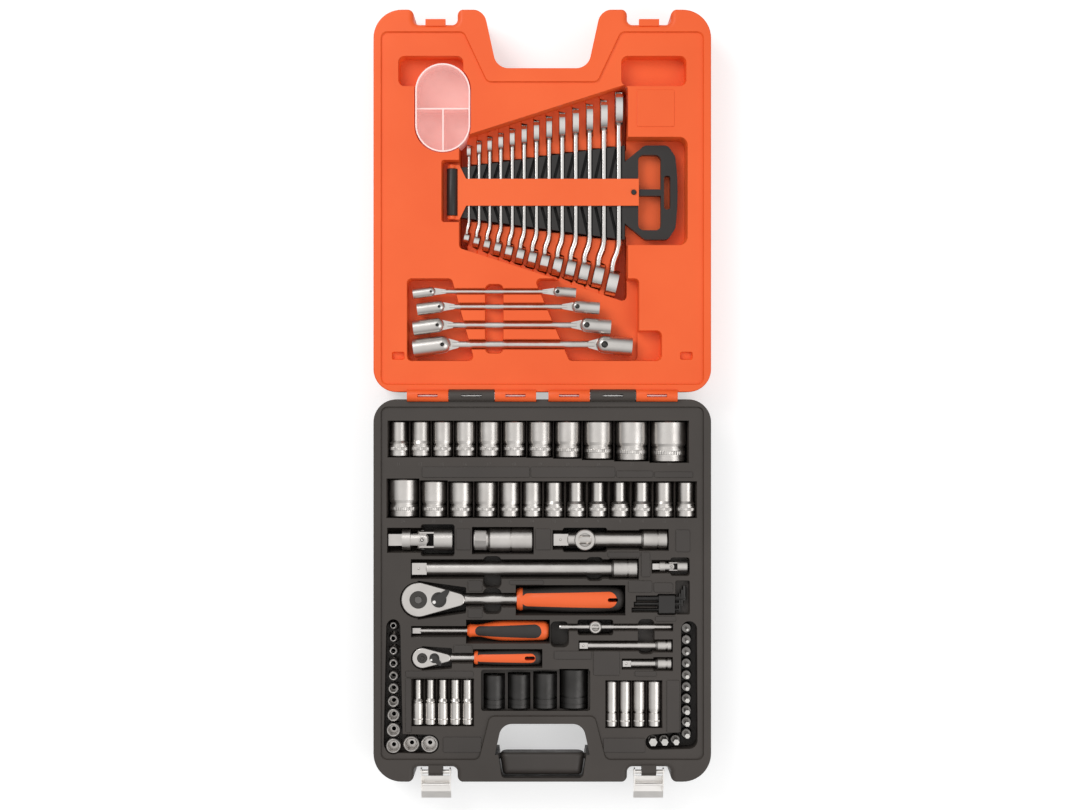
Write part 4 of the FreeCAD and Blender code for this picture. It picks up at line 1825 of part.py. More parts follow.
def finger_troughs():
    """Room for the fingers across the tools that lie along the lower half."""
    floor = number(TOP) - 18.0
    clear_under(base_cavities, -64.0, -46.0, number("ext_250_y") - 20, number("ext_250_y") + 13, floor, 6.0)
    clear_under(base_cavities, 10.0, 28.0, number("spinner_y") - 16, number("spinner_y") + 10, floor, 6.0)
    clear_under(base_cavities, 49.0, 66.0, number("ext_250_y") - 12, number("ext_250_y") + 12, floor, 6.0)
    clear_under(base_cavities, -64.0, -46.0, number("ratchet_half_y") - 14, number("ratchet_half_y") + 12,
                floor, 6.0)
    clear_under(base_cavities, 106.0, 122.0, number("ext_100_y") - 8, number("t_bar_y") + 8, floor + 4, 6.0)


def make_everything():
    half_inch_row("sockets_upper_row", "upper_row_flats", "upper_row_left", "upper_row_right",
                  "upper_row_y", True)
    half_inch_row("sockets_lower_row", "lower_row_flats", "lower_row_left", "lower_row_right",
                  "lower_row_y", False)
    small_sockets()
    deep_sockets()
    impact_sockets()
    bit_sockets()
    spark_plug_socket()
    extension("ext_250", "half_square", "half_male", "half_female")
    extension("ext_125", "half_square", "half_male", "half_female")
    extension("ext_100", "quarter_square", "quarter_male", "quarter_female")
    extension("ext_50", "quarter_square", "quarter_male", "quarter_female")
    slide_head("slide_half", "slide_head", "half_square", "ext_125_shaft", "ext_125_y",
               f"({TOP} - ext_125_female / 2)", "half_male")
    t_bar()
    universal_joint("uj_half", "half_square", "half_male")
    universal_joint("uj_quarter", "quarter_square", "quarter_male")
    ratchet("ratchet_half", "half_square", True)
    ratchet("ratchet_quarter", "quarter_square", False)
    spinner()
    hex_keys()
    finger_troughs()
    storage_box()
    combination_wrenches()
    wrench_rack()
    rack_band()
    rack_hollows()
    for index in range(1, len(SETS["flex_y"]) + 1):
        flex_wrench(index)
    flex_hollows()
    base_deck()
    lid_deck()
    hollowed("base_shell", base_block(), base_cavities)
    hollowed("lid_shell", lid_block(), lid_cavities)
    hinge_pins()
    latch_pins()
    latch_lever("left", "-latch_x")
    latch_lever("right", "latch_x")
    carry_handle()


def write_parts():
    """Check every object, then write one file for each sub-part."""
    doc.recompute()
    for item in doc.Objects:
        if "Invalid" in item.State or "Error" in item.State:
            raise RuntimeError(f"{item.Name} failed: {item.State}")
    for item in sub_parts:
        if item.Shape.isNull() or not item.Shape.isValid() or not item.Shape.Solids:
            raise RuntimeError(f"{item.Label} has no sound shape")
    os.makedirs("parts", exist_ok=True)
    for item in sub_parts:
        item.Shape.exportStep(f"parts/{item.Label}.step")
    print(len(sub_parts), "sub-parts,", sum(len(item.Shape.Solids) for item in sub_parts), "solids")


make_everything()
write_parts()
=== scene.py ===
import json
import math

import bmesh
import bpy
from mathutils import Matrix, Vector
from mathutils.bvhtree import BVHTree

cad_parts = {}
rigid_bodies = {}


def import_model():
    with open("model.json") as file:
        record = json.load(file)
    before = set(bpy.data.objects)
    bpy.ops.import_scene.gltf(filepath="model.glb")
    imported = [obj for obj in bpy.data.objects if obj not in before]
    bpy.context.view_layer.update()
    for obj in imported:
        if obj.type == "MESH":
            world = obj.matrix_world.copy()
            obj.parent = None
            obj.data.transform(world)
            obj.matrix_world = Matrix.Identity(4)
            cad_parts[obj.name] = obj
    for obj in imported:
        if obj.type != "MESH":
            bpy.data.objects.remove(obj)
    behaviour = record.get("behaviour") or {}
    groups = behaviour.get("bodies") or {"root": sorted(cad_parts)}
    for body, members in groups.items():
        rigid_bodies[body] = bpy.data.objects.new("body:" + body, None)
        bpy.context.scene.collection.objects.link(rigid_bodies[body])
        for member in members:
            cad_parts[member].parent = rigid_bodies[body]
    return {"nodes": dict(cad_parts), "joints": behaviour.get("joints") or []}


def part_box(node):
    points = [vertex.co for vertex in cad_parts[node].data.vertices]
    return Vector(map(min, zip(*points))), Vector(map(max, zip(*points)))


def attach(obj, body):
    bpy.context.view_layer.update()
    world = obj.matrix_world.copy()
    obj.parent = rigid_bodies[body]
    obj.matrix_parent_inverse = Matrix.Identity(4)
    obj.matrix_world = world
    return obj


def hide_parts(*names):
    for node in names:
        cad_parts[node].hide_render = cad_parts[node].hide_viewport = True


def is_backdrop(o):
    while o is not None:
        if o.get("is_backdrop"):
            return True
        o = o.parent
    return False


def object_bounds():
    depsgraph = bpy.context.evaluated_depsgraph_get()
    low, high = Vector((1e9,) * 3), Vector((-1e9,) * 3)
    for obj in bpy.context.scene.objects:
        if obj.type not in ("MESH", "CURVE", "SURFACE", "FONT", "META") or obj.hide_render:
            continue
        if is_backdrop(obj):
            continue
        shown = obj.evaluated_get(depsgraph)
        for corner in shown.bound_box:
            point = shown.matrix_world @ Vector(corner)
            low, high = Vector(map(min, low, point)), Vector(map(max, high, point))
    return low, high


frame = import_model()
cad_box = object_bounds()
nodes = frame["nodes"]
scene = bpy.context.scene

MM = 0.001
WELD = 0.00001  # points closer than this are one
DOWN = Vector((0, 0, -1))
ABOVE = 1.0  # a height over the whole part, from which surfaces are looked for


# Materials: every pattern is in metres, in the part's own frame

class Shader:
    """A material and the few node chains that the finishes share."""

    def __init__(self, name, metallic=0.0, **sockets):
        self.material = bpy.data.materials.new(name)
        self.material.use_nodes = True
        self.tree = self.material.node_tree
        self.main = self.tree.nodes["Principled BSDF"]
        self.main.inputs["Metallic"].default_value = metallic
        for key, value in sockets.items():
            self.main.inputs[key.replace("_", " ")].default_value = value
        self.bump = None

    def node(self, kind, **settings):
        made = self.tree.nodes.new("ShaderNode" + kind)
        for key, value in settings.items():
            setattr(made, key, value)
        return made

    def link(self, source, target):
        self.tree.links.new(source, target)

    def place(self, scale=(1, 1, 1)):
        where = self.node("TexCoord")
        shift = self.node("Mapping")
        shift.inputs["Scale"].default_value = scale
        self.link(where.outputs["Object"], shift.inputs["Vector"])
        return shift.outputs["Vector"]

    def noise(self, scale, detail=3.0, stretch=(1, 1, 1)):
        made = self.node("TexNoise")
        made.inputs["Scale"].default_value = scale
        made.inputs["Detail"].default_value = detail
        self.link(self.place(stretch), made.inputs["Vector"])
        return made.outputs["Fac"]

    def ramp(self, source, low, high, start=0.3, end=0.7):
        made = self.node("ValToRGB")
        made.color_ramp.elements[0].position = start
        made.color_ramp.elements[1].position = end
        made.color_ramp.elements[0].color = low
        made.color_ramp.elements[1].color = high
        self.link(source, made.inputs["Fac"])
        return made.outputs["Color"]

    def colour(self, source, low, high, start=0.3, end=0.7):
        made = self.ramp(source, (*low, 1), (*high, 1), start, end)
        self.link(made, self.main.inputs["Base Color"])
        return made

    def roughness(self, source, low, high, start=0.3, end=0.7):
        self.link(self.ramp(source, (low,) * 3 + (1,), (high,) * 3 + (1,), start, end),
                  self.main.inputs["Roughness"])

    def along(self, axis, low, high):
        """0 where a coordinate is below low, 1 where it is above high, in metres."""
        split = self.node("SeparateXYZ")
        span = self.node("MapRange")
        span.inputs["From Min"].default_value = low
        span.inputs["From Max"].default_value = high
        self.link(self.place(), split.inputs["Vector"])
        self.link(split.outputs[axis], span.inputs["Value"])
        return span.outputs["Result"]

    def within(self, bounds, fade=0.0005):
        """1 inside an upright box given as ((low x, low y), (high x, high y)), else 0."""
        total = None
        for axis, low, high in zip("XY", *bounds):
            for near, far in ((low, low + fade), (high, high - fade)):
                side = self.along(axis, near, far)
                if total:
                    joined = self.node("Math", operation="MULTIPLY")
                    self.link(total, joined.inputs[0])
                    self.link(side, joined.inputs[1])
                    side = joined.outputs["Value"]
                total = side
        return total

    def mixed(self, mask, first, second, kind="MIX"):
        made = self.node("Mix", data_type="RGBA", blend_type=kind)
        self.link(mask, made.inputs["Factor"])
        for socket, value in ((made.inputs[6], first), (made.inputs[7], second)):
            if hasattr(value, "is_linked"):
                self.link(value, socket)
            else:
                socket.default_value = (*value, 1)
        return made.outputs[2]

    def relief(self, source, strength, distance):
        made = self.node("Bump")
        made.inputs["Strength"].default_value = strength
        made.inputs["Distance"].default_value = distance
        self.link(source, made.inputs["Height"])
        if self.bump:
            self.link(self.bump.outputs["Normal"], made.inputs["Normal"])
        self.link(made.outputs["Normal"], self.main.inputs["Normal"])
        self.bump = made


def moulded(name, low, high, rough=(0.4, 0.52), grain=1500.0, strength=0.22, painted_pocket_shade=None):
    """Moulded plastic with a fine eroded grain, faint flow clouds and scuffs.

    Given the last argument (bottom, top, shade, bounds), it carries painted shade: darker towards the bottom
    of the hollows inside the bounds.
    """
    made = Shader(name, Specular_IOR_Level=0.35)
    tone = made.colour(made.noise(9.0, 4.0), low, high)
    if painted_pocket_shade:
        bottom, top, shade, bounds = painted_pocket_shade
        # painted shade: towards the bottom of the hollows the colour falls to shade times the low tone
        painted_shade_tone = made.mixed(made.along("Z", bottom, top), tuple(value * shade for value in low), tone)
        made.link(made.mixed(made.within(bounds), tone, painted_shade_tone), made.main.inputs["Base Color"])
    made.roughness(made.noise(60.0, 5.0), *rough)
    made.relief(made.noise(grain, 2.0), strength, 0.0003)
    made.relief(made.noise(45.0, 2.0), 0.05, 0.001)
    return made.material


def metal(name, low, high, rough, stretch=(1, 1, 1), lines=0.08, scale=900.0, bore=None):
    """Plated steel: faint tool lines across the turning axis, patchy gloss, and painted shade that darkens
    the colour inside narrow bores.
    """
    made = Shader(name, 1.0)
    tone = made.colour(made.noise(35.0, 5.0), low, high)
    if bore:
        # painted shade: where ambient occlusion finds close walls, the colour falls to a quarter of the low
        # tone
        shade = made.node("AmbientOcclusion", samples=8, only_local=True)
        shade.inputs["Distance"].default_value = bore
        unshaded_share = made.ramp(shade.outputs["AO"], (0, 0, 0, 1), (1, 1, 1, 1), 0.2, 0.75)
        painted_bore_shade = tuple(0.25 * value for value in low)
        made.link(made.mixed(unshaded_share, painted_bore_shade, tone), made.main.inputs["Base Color"])
    made.roughness(made.noise(120.0, 6.0), *rough)
    made.relief(made.noise(scale, 3.0, stretch), lines, 0.0002)
    return made.material


def two_tone(name, split, below, above, rough):
    """Metal whose finish changes at a height: a plated body and a blackened or bright upper part."""
    made = Shader(name, 1.0)
    cloud = made.noise(60.0, 5.0)
    lower = made.ramp(cloud, (*below, 1), (*(1.15 * value for value in below), 1))
    upper = made.ramp(cloud, (*above, 1), (*(1.15 * value for value in above), 1))
    change = made.along("Z", split - 0.0001, split + 0.0001)
    made.link(made.mixed(change, lower, upper), made.main.inputs["Base Color"])
    made.roughness(made.noise(140.0, 5.0), *rough)
    made.relief(made.noise(1200.0, 3.0), 0.06, 0.0002)
    return made.material


# the inside of the base, where the black shell carries painted shade in its hollows
BASE_INSIDE = ((-0.177, -0.178), (0.177, 0.204))
BIT_ROOT = 0.0201  # from the foot of the bit sockets to where the bits leave them
GEAR_TOP = 0.002  # from the top of a ratchet down to the plated part of its drive
WALL_TOP = 0.0304  # from the foot of the storage box to just under the top of its walls
COVER_RIM = 0.001  # over the cover, so that all of it is thin

ORANGE = moulded("orange_shell", (0.83, 0.108, 0.020), (0.88, 0.126, 0.026))
# the base's hollows carry painted shade, down to 0.45 of the tone at their floors
BLACK = moulded("black_shell", (0.046, 0.039, 0.034), (0.058, 0.049, 0.043), (0.42, 0.56),
                painted_pocket_shade=(0.030, 0.054, 0.45, BASE_INSIDE))
HANDLE = moulded("black_handle", (0.044, 0.038, 0.034), (0.056, 0.048, 0.043), (0.42, 0.56))
RACK = moulded("black_rack", (0.020, 0.018, 0.017), (0.030, 0.027, 0.025), (0.34, 0.46))
BAND = moulded("orange_band", (0.85, 0.125, 0.027), (0.89, 0.145, 0.035), (0.28, 0.36), 2500.0, 0.08)
GRIP = moulded("black_grip", (0.030, 0.026, 0.024), (0.040, 0.035, 0.032), (0.55, 0.68), 2200.0, 0.3)
SATIN = ((0.58, 0.55, 0.52), (0.68, 0.65, 0.62), (0.27, 0.37))
SATIN_X = metal("satin_turned_x", *SATIN, (1, 0.06, 0.06), 0.03)
SATIN_Y = metal("satin_turned_y", *SATIN, (0.06, 1, 0.06), 0.03)
# the bores of these sockets carry painted shade
SATIN_Z = metal("satin_turned_z", *SATIN, (0.06, 0.06, 1), 0.03, bore=0.006)
POLISHED = metal("polished_steel", (0.72, 0.69, 0.66), (0.80, 0.77, 0.74), (0.12, 0.22), (1, 0.05, 1), 0.04)
ZINC = metal("zinc_steel", (0.88, 0.85, 0.81), (0.94, 0.91, 0.88), (0.34, 0.46), (1, 1, 1), 0.02, 500.0)
PIN = metal("bright_pin", (0.90, 0.87, 0.84), (0.95, 0.93, 0.91), (0.40, 0.52), (0.06, 1, 1), 0.03)
DARK = metal("black_phosphate", (0.050, 0.048, 0.046), (0.075, 0.072, 0.070), (0.34, 0.48),
             (1, 1, 1), 0.12, 1600.0)
BUTTON = metal("button_steel", (0.15, 0.143, 0.137), (0.20, 0.19, 0.18), (0.28, 0.40), (1, 1, 1), 0.03)
# painted highlight: the raised numbers are the deck's own plastic, drawn a lighter grey for the light they
# catch
MARK_PAINTED_HIGHLIGHT = moulded("raised_mark_painted_highlight", (0.085, 0.076, 0.069), (0.100, 0.090, 0.082), (0.42, 0.56))
BIT = two_tone("bit_steel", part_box("bit_sockets")[0].z + BIT_ROOT,
               (0.22, 0.21, 0.20), (0.62, 0.60, 0.57), (0.26, 0.38))
GEAR = ((0.70, 0.67, 0.63), (0.07, 0.066, 0.062), (0.28, 0.4))
GEAR_HALF = two_tone("drive_half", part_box("ratchet_half_body")[1].z - GEAR_TOP, *GEAR)
GEAR_QUARTER = two_tone("drive_quarter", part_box("ratchet_quarter_body")[1].z - GEAR_TOP, *GEAR)


def clear_plastic(name, rim, tints, thin, dense, glow):
    """Milky see-through plastic, denser and whiter above the height rim, where walls and dividers end, with
    a painted pink glow.
    """
    # painted light: a faint pink glow stands in for the orange light that bounces into the box
    made = Shader(name, IOR=1.49, Emission_Color=(1.0, 0.45, 0.40, 1), Emission_Strength=glow)
    ends = made.along("Z", rim, rim + 0.0001)
    tint = made.ramp(made.noise(30.0, 3.0), *((*tone, 1) for tone in tints))
    made.link(made.mixed(ends, tint, (1.0, 0.86, 0.83)), made.main.inputs["Base Color"])
    made.roughness(made.noise(90.0, 3.0), 0.12, 0.24)
    made.relief(made.noise(60.0, 2.0), 0.04, 0.0005)
    cloud = made.ramp(made.noise(40.0, 2.0), (thin,) * 3 + (1,), (1.2 * thin,) * 3 + (1,))
    made.link(made.mixed(ends, cloud, (dense,) * 3), made.main.inputs["Alpha"])
    return made.material


# the box carries a painted glow of strength 0.12, the cover none
CLEAR = clear_plastic("clear_box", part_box("storage_box")[0].z + WALL_TOP,
                      ((0.98, 0.56, 0.51), (0.99, 0.64, 0.59)), 0.62, 0.96, 0.12)
COVER = clear_plastic("clear_cover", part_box("storage_box_cover")[1].z + COVER_RIM,
                      ((0.98, 0.76, 0.72), (0.99, 0.82, 0.79)), 0.10, 0.10, 0.0)

FINISH = {
    "lid_shell": ORANGE,
    "base_shell": BLACK,
    "carry_handle": HANDLE,
    "wrench_rack": RACK,
    "hex_key_clip": RACK,
    "rack_band": BAND,
    "storage_box": CLEAR,
    "storage_box_cover": COVER,
    "combination_wrenches": POLISHED,
    "impact_sockets": DARK,
    "hex_keys": DARK,
    "bit_sockets": BIT,
    "small_sockets": SATIN_Z,
    "sockets_upper_row": SATIN_Y,
    "sockets_lower_row": SATIN_Y,
    "deep_sockets": SATIN_Y,
    "slide_head": SATIN_Z,
    "t_bar_head": SATIN_Z,
    "hinge_pins": PIN,
    "latch_pins": ZINC,
    "latch_lever_left": ZINC,
    "latch_lever_right": ZINC,
    "ratchet_half_drive": GEAR_HALF,
    "ratchet_quarter_drive": GEAR_QUARTER,
    "ratchet_half_button": BUTTON,
    "ratchet_half_lever": DARK,
    "ratchet_quarter_lever": DARK,
    "ratchet_half_grip": GRIP,
    "ratchet_quarter_grip": GRIP,
    "spinner_grip": GRIP,
    "ratchet_half_inlay": BAND,
    "ratchet_quarter_inlay": BAND,
    "spinner_inlay": BAND,
}
BEVELS = {"lid_shell": 0.0008, "base_shell": 0.0008, "wrench_rack": 0.0005, "rack_band": 0.0005}


def soften(node, width):
    """Break the sharp edges of a node by a small bevel."""
    weld = node.modifiers.new("weld", "WELD")
    weld.merge_threshold = WELD
    flat = node.modifiers.new("flat", "DECIMATE")
    flat.decimate_type = "DISSOLVE"
    flat.angle_limit = math.radians(0.5)
    edge = node.modifiers.new("edge", "BEVEL")
    edge.width = width
    edge.segments = 2
    edge.limit_method = "ANGLE"
    edge.angle_limit = math.radians(38)
    edge.harden_normals = True


for name, node in nodes.items():
    node.data.materials.clear()
    node.data.materials.append(FINISH.get(name, SATIN_X))


# Pieces that only the looks need

def piece(name, mesh, body, material):
    """An object of the looks alone, riding on a body."""
    made = bpy.data.objects.new(name, mesh)
    mesh.materials.clear()
    mesh.materials.append(material)
    scene.collection.objects.link(made)
    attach(made, body)
    return made


TREES = {}


def surface(name, x, y, nothing=None):
    """Height of a node's upper surface at a place, or nothing where the node is open."""
    if name not in TREES:
        mesh = nodes[name].data
        TREES[name] = BVHTree.FromPolygons([point.co for point in mesh.vertices],
                                           [face.vertices for face in mesh.polygons])
    hit = TREES[name].ray_cast(Vector((x, y, ABOVE)), DOWN)[0]
    return hit.z if hit else nothing


def skin(shape, rings, endless=False):
    """Add a closed skin through rings of equal count: with flat ends, or joined from last to first."""
    rows = [[shape.verts.new(point) for point in ring] for ring in rings]
    count = len(rows[0])
    for low, high in zip(rows, rows[1:] + rows[:1] if endless else rows[1:]):
        for index in range(count):
            after = (index + 1) % count
            shape.faces.new((low[index], low[after], high[after], high[index]))
    if not endless:
        shape.faces.new(reversed(rows[0]))
        shape.faces.new(rows[-1])


def poured(name, shape):
    """The mesh of a finished shape, which is let go."""
    mesh = bpy.data.meshes.new(name)
    shape.to_mesh(mesh)
    shape.free()
    return mesh


def stacked(name, rings):
    """The mesh of one closed skin through rings."""
    shape = bmesh.new()
    skin(shape, rings)
    return poured(name, shape)


def slot_ring(first, second, z, steps=24):
    """The outline round two circles (x, y, radius), at the height z, anticlockwise."""
    (x1, y1, r1), (x2, y2, r2) = first, second
    heading = math.atan2(y2 - y1, x2 - x1)
    lean = math.acos((r1 - r2) / math.hypot(x2 - x1, y2 - y1))
    ring = []
    for x, y, radius, start, end in ((x2, y2, r2, heading - lean, heading + lean),
                                     (x1, y1, r1, heading + lean, heading + math.tau - lean)):
        for step in range(steps + 1):
            angle = start + (end - start) * step / steps
            ring.append((x + radius * math.cos(angle), y + radius * math.sin(angle), z))
    return ring


def oblong_ring(low, high, radius, z, steps=8):
    """A rectangle with rounded corners at the height z, anticlockwise."""
    ring = []
    corners = ((high[0], high[1]), (low[0], high[1]), (low[0], low[1]), (high[0], low[1]))
    for turn, (x, y) in enumerate(corners):
        inner = (x - math.copysign(radius, x - (low[0] + high[0]) / 2),
                 y - math.copysign(radius, y - (low[1] + high[1]) / 2))
        for step in range(steps + 1):
            angle = math.pi / 2 * (turn + step / steps)
            ring.append((inner[0] + radius * math.cos(angle), inner[1] + radius * math.sin(angle), z))
    return ring


def channelled(name, body, cutters):
    """A node with open channels cut round the tools that stand in it."""
    node = nodes[name]
    work = bpy.data.objects.new(name + "_work", node.data.copy())
    scene.collection.objects.link(work)
    work.modifiers.new("weld", "WELD").merge_threshold = WELD
    tools = []
    for index, mesh in enumerate(cutters):
        tool = bpy.data.objects.new(f"cutter_{index}", mesh)
        scene.collection.objects.link(tool)
        cut = work.modifiers.new("cut", "BOOLEAN")
        cut.operation = "DIFFERENCE"
        cut.solver = "EXACT"
        cut.object = tool
        tools.append(tool)
    bpy.context.view_layer.update()
    mesh = bpy.data.meshes.new_from_object(work.evaluated_get(bpy.context.evaluated_depsgraph_get()))
    for old in (work, *tools):
        bpy.data.objects.remove(old)
    mesh.polygons.foreach_set("use_smooth", [True] * len(mesh.polygons))
    mesh.set_sharp_from_angle(angle=math.radians(35))
    made = piece(name + "_channelled", mesh, body, FINISH[name])
    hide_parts(name)
    return made


CUT_TOP = 0.075  # over the rim of the base
LOW_LEFT, LOW_RIGHT, LOW_BASIN = 0.0395, 0.0345, 0.0465
BASIN_LOW, BASIN_HIGH, BASIN_CORNER = (-0.0672, -0.1322), (0.0526, -0.0868), 0.003


def channel(first, second, floor):
    """A cutter round two circles (x, y, radius) in mm, down to a floor."""
    ends = [tuple(MM * value for value in end) for end in (first, second)]
    return stacked("channel", [slot_ring(*ends, z) for z in (floor, CUT_TOP)])


def basin():
    """The cutter of the shared hollow round the impact sockets."""
    rings = [oblong_ring(BASIN_LOW, BASIN_HIGH, BASIN_CORNER, z) for z in (LOW_BASIN, CUT_TOP)]
    return stacked("basin", rings)


CHANNELS = [
    # round the small sockets at the left
    channel((-163.4, -40.2, 7.8), (-163.4, -165.6, 10.6), LOW_LEFT),
    channel((-163.4, -167.6, 10.6), (-124.2, -168.6, 10.4), LOW_LEFT),
    # round the bit sockets at the right
    channel((161.0, -42.5, 8.8), (161.0, -160.5, 9.4), LOW_RIGHT),
    channel((160.8, -164.2, 9.6), (121.6, -166.4, 8.4), LOW_RIGHT),
    basin(),
]
shown = dict(nodes)
shown["base_shell"] = channelled("base_shell", "base", CHANNELS)


# reach and height of the rings of a dome, as shares of its radius
DOME_PROFILE = ((1.0, -0.25), (1.0, 0.12), (0.92, 0.24), (0.70, 0.34), (0.35, 0.40), (0.08, 0.41))


def dome(name, body, x, y, seat, radius, material):
    """A small round insert with a domed face."""
    turns = [math.tau * step / 20 for step in range(20)]
    rings = []
    for across, rise in DOME_PROFILE:
        reach, z = radius * across, seat + radius * rise
        rings.append([(x + reach * math.cos(turn), y + reach * math.sin(turn), z) for turn in turns])
    mesh = stacked(name, rings)
    mesh.polygons.foreach_set("use_smooth", [True] * len(mesh.polygons))
    return piece(name, mesh, body, material)


LEVER_DISCS = {"ratchet_half_lever": 0.0082, "ratchet_quarter_lever": 0.0054}
MARK_ASIDE, MARK_ALONG, MARK_RADIUS = -0.60, -0.28, 0.24  # shares of the disc's radius


def lever_marks():
    """A pale insert on each reversing lever."""
    pale = moulded("pale_insert", (0.80, 0.78, 0.75), (0.86, 0.84, 0.81), (0.3, 0.4), 2500.0, 0.05)
    for joint in frame["joints"]:
        lever = joint["child"]
        if lever in LEVER_DISCS:
            disc = LEVER_DISCS[lever]
            x, y = joint["pos_m"][0] + MARK_ASIDE * disc, joint["pos_m"][1] + MARK_ALONG * disc
            dome(lever + "_mark", lever, x, y, surface(lever, x, y), MARK_RADIUS * disc, pale)


CROSS_PINS = {"uj_half_cross": 0.0013, "uj_quarter_cross": 0.0007}


def cross_pins():
    """The riveted pin end on top of each universal joint's cross, in its dark seat."""
    for joint in frame["joints"]:
        cross = joint["child"]
        if cross in CROSS_PINS:
            size = CROSS_PINS[cross]
            x, y = joint["pos_m"][:2]
            seat = surface(cross, x, y)
            dome(cross + "_seat", cross, x, y, seat - 0.20 * size, 1.6 * size, DARK)
            dome(cross + "_pin", cross, x, y, seat + 0.30 * size, size, SATIN_Z)


def plate(shape, node, corners, rise, edge, corner=0.0016, sunk=0.0003):
    """A low raised pad on a node's deck, with a rounded outline and a chamfered edge, its corners in mm."""
    x1, y1, x2, y2 = (MM * value for value in corners)
    deck = surface(node, (x1 + x2) / 2, (y1 + y2) / 2)
    rings = []
    for inset, z in ((0, -sunk), (0, rise - edge), (0.3 * edge, rise - 0.3 * edge), (edge, rise)):
        low, high = (x1 + inset, y1 + inset), (x2 - inset, y2 - inset)
        rings.append(oblong_ring(low, high, corner - inset, deck + z))
    skin(shape, rings)


LID_PLATE = (104.0, 508.5, 144.8, 549.0)


def lid_plate():
    """The low raised pad on the lid's deck, above the rack's grip."""
    shape = bmesh.new()
    plate(shape, "lid_shell", LID_PLATE, rise=0.0008, edge=0.0005)
    piece("lid_pad", poured("lid_pad", shape), "lid", ORANGE)


DECK_PLATES = (
    # between the half-inch rows
    (-131.7, 123.9, -14.0, 135.4), (-12.4, 123.9, 79.6, 135.4),
    (81.2, 123.9, 121.2, 131.0), (122.9, 123.9, 165.0, 130.0),
    # between the tools of the third row
    (-94.5, 44.5, -78.6, 67.5), (-7.4, 44.5, 9.0, 67.5), (146.4, 42.4, 161.7, 66.4),
    # round the long extension and the half-inch ratchet
    (71.9, 36.3, 107.0, 42.0), (108.6, 15.0, 117.9, 42.0), (-81.4, -0.9, -66.0, 10.6),
    (-35.9, 6.4, 1.3, 11.1), (-81.4, -29.9, -66.0, -20.1),
    # round the hex keys
    (94.4, -2.0, 120.1, 10.6), (122.3, -2.0, 143.1, 8.4), (124.0, -33.8, 146.4, -28.3),
    # round the quarter-inch tools
    (-97.2, -68.2, -77.0, -60.0), (13.0, -75.4, 53.9, -66.5), (56.1, -93.0, 84.5, -66.6),
    (101.5, -94.0, 125.0, -88.5),
    # beside the deep sockets and along the front
    (-149.8, -95.1, -75.9, -88.5), (-149.8, -155.8, -143.8, -96.2), (136.5, -155.8, 150.2, -98.4),
    (-108.7, -177.5, -67.0, -160.8), (67.0, -177.5, 112.5, -161.9),
)


def deck_plates():
    """Low steps of the base's deck between the hollows."""
    shape = bmesh.new()
    for corners in DECK_PLATES:
        plate(shape, "base_shell", corners, rise=0.0012, edge=0.0006)
    piece("deck_plates", poured("deck_plates", shape), "base", HANDLE)


def solids(name):
    """Corners and search tree of each separate solid of a node."""
    shape = bmesh.new()
    shape.from_mesh(nodes[name].data)
    bmesh.ops.remove_doubles(shape, verts=shape.verts, dist=WELD)
    shape.verts.index_update()
    known = set()
    for first in shape.verts:
        if first in known:
            continue
        found, edge = set(), {first}
        while edge:
            found |= edge
            edge = {link.other_vert(vert) for vert in edge for link in vert.link_edges} - found
        known |= found
        low, high = [[pick(vert.co[axis] for vert in found) for axis in range(3)] for pick in (min, max)]
        spots = {vert: spot for spot, vert in enumerate(sorted(found, key=lambda vert: vert.index))}
        faces = [[spots[vert] for vert in face.verts] for face in shape.faces if face.verts[0] in found]
        yield low, high, BVHTree.FromPolygons([vert.co for vert in spots], faces)
    shape.free()


def knurls(name, start, end, teeth=44, crest=0.0004, root=0.0001, sunk=0.0006, lead=0.0006):
    """A knurled band round each socket of a row, between two shares of its length from the drive end."""
    shape = bmesh.new()
    for low, high, _ in solids(name):
        x, z, length = (low[0] + high[0]) / 2, (low[2] + high[2]) / 2, high[1] - low[1]
        near, far = low[1] + start * length, low[1] + end * length
        radius = surface(name, x, (near + far) / 2) - z
        inside, level, toothed = (-sunk, -sunk), (0.0, 0.0), (crest, root)
        rings = []
        for y, rises in ((near, inside), (near, level), (near + lead, toothed),
                         (far - lead, toothed), (far, level), (far, inside)):
            ring = []
            for step in range(2 * teeth):
                turn = math.tau * step / (2 * teeth)
                reach = radius + rises[step % 2]
                ring.append((x + reach * math.sin(turn), y, z + reach * math.cos(turn)))
            rings.append(ring)
        skin(shape, rings, True)
    bmesh.ops.recalc_face_normals(shape, faces=shape.faces)
    piece(name + "_knurls", poured(name + "_knurls", shape), name, SATIN_Y)


# The wrench hollow in the lid: its floor lies below HOLLOW, and the rack crosses it round RACK_MIDDLE
HOLLOW, RACK_MIDDLE = 0.026, 0.44
HOLLOW_ROWS = range(300, 571)  # mm along y
LEAST_RUN, LEAST_WIDTH, RIB_EDGE = 0.010, 0.0006, 0.0008
WRENCH_STEP, WRENCH_SPREAD = 0.00025, (-0.0012, 0, 0.0012)
RACK_ASIDE, RACK_ALONG = (-0.003, 0.0, 0.003), (-0.002, 0.002)
WALL_STEP, WALL_TRIES, INTO_WALL = 0.0004, 20, 0.0006
BORE_STEP, BORE_STEPS, PIN_ROOM = 0.0001, range(5, 60), 0.0002


def wrench_edges(low, high, tree, y, spare=0.0005):
    """Left and right edge of a wrench seen from above, with a little room round it."""
    hits = []
    for step in range(int((high[0] - low[0]) / WRENCH_STEP) + 2):
        x = low[0] + WRENCH_STEP * step
        if any(tree.ray_cast(Vector((x, y + along, ABOVE)), DOWN)[0] for along in WRENCH_SPREAD):
            hits.append(x)
    middle = (low[0] + high[0]) / 2
    return (min(hits) - spare, max(hits) + spare) if hits else (middle, middle)


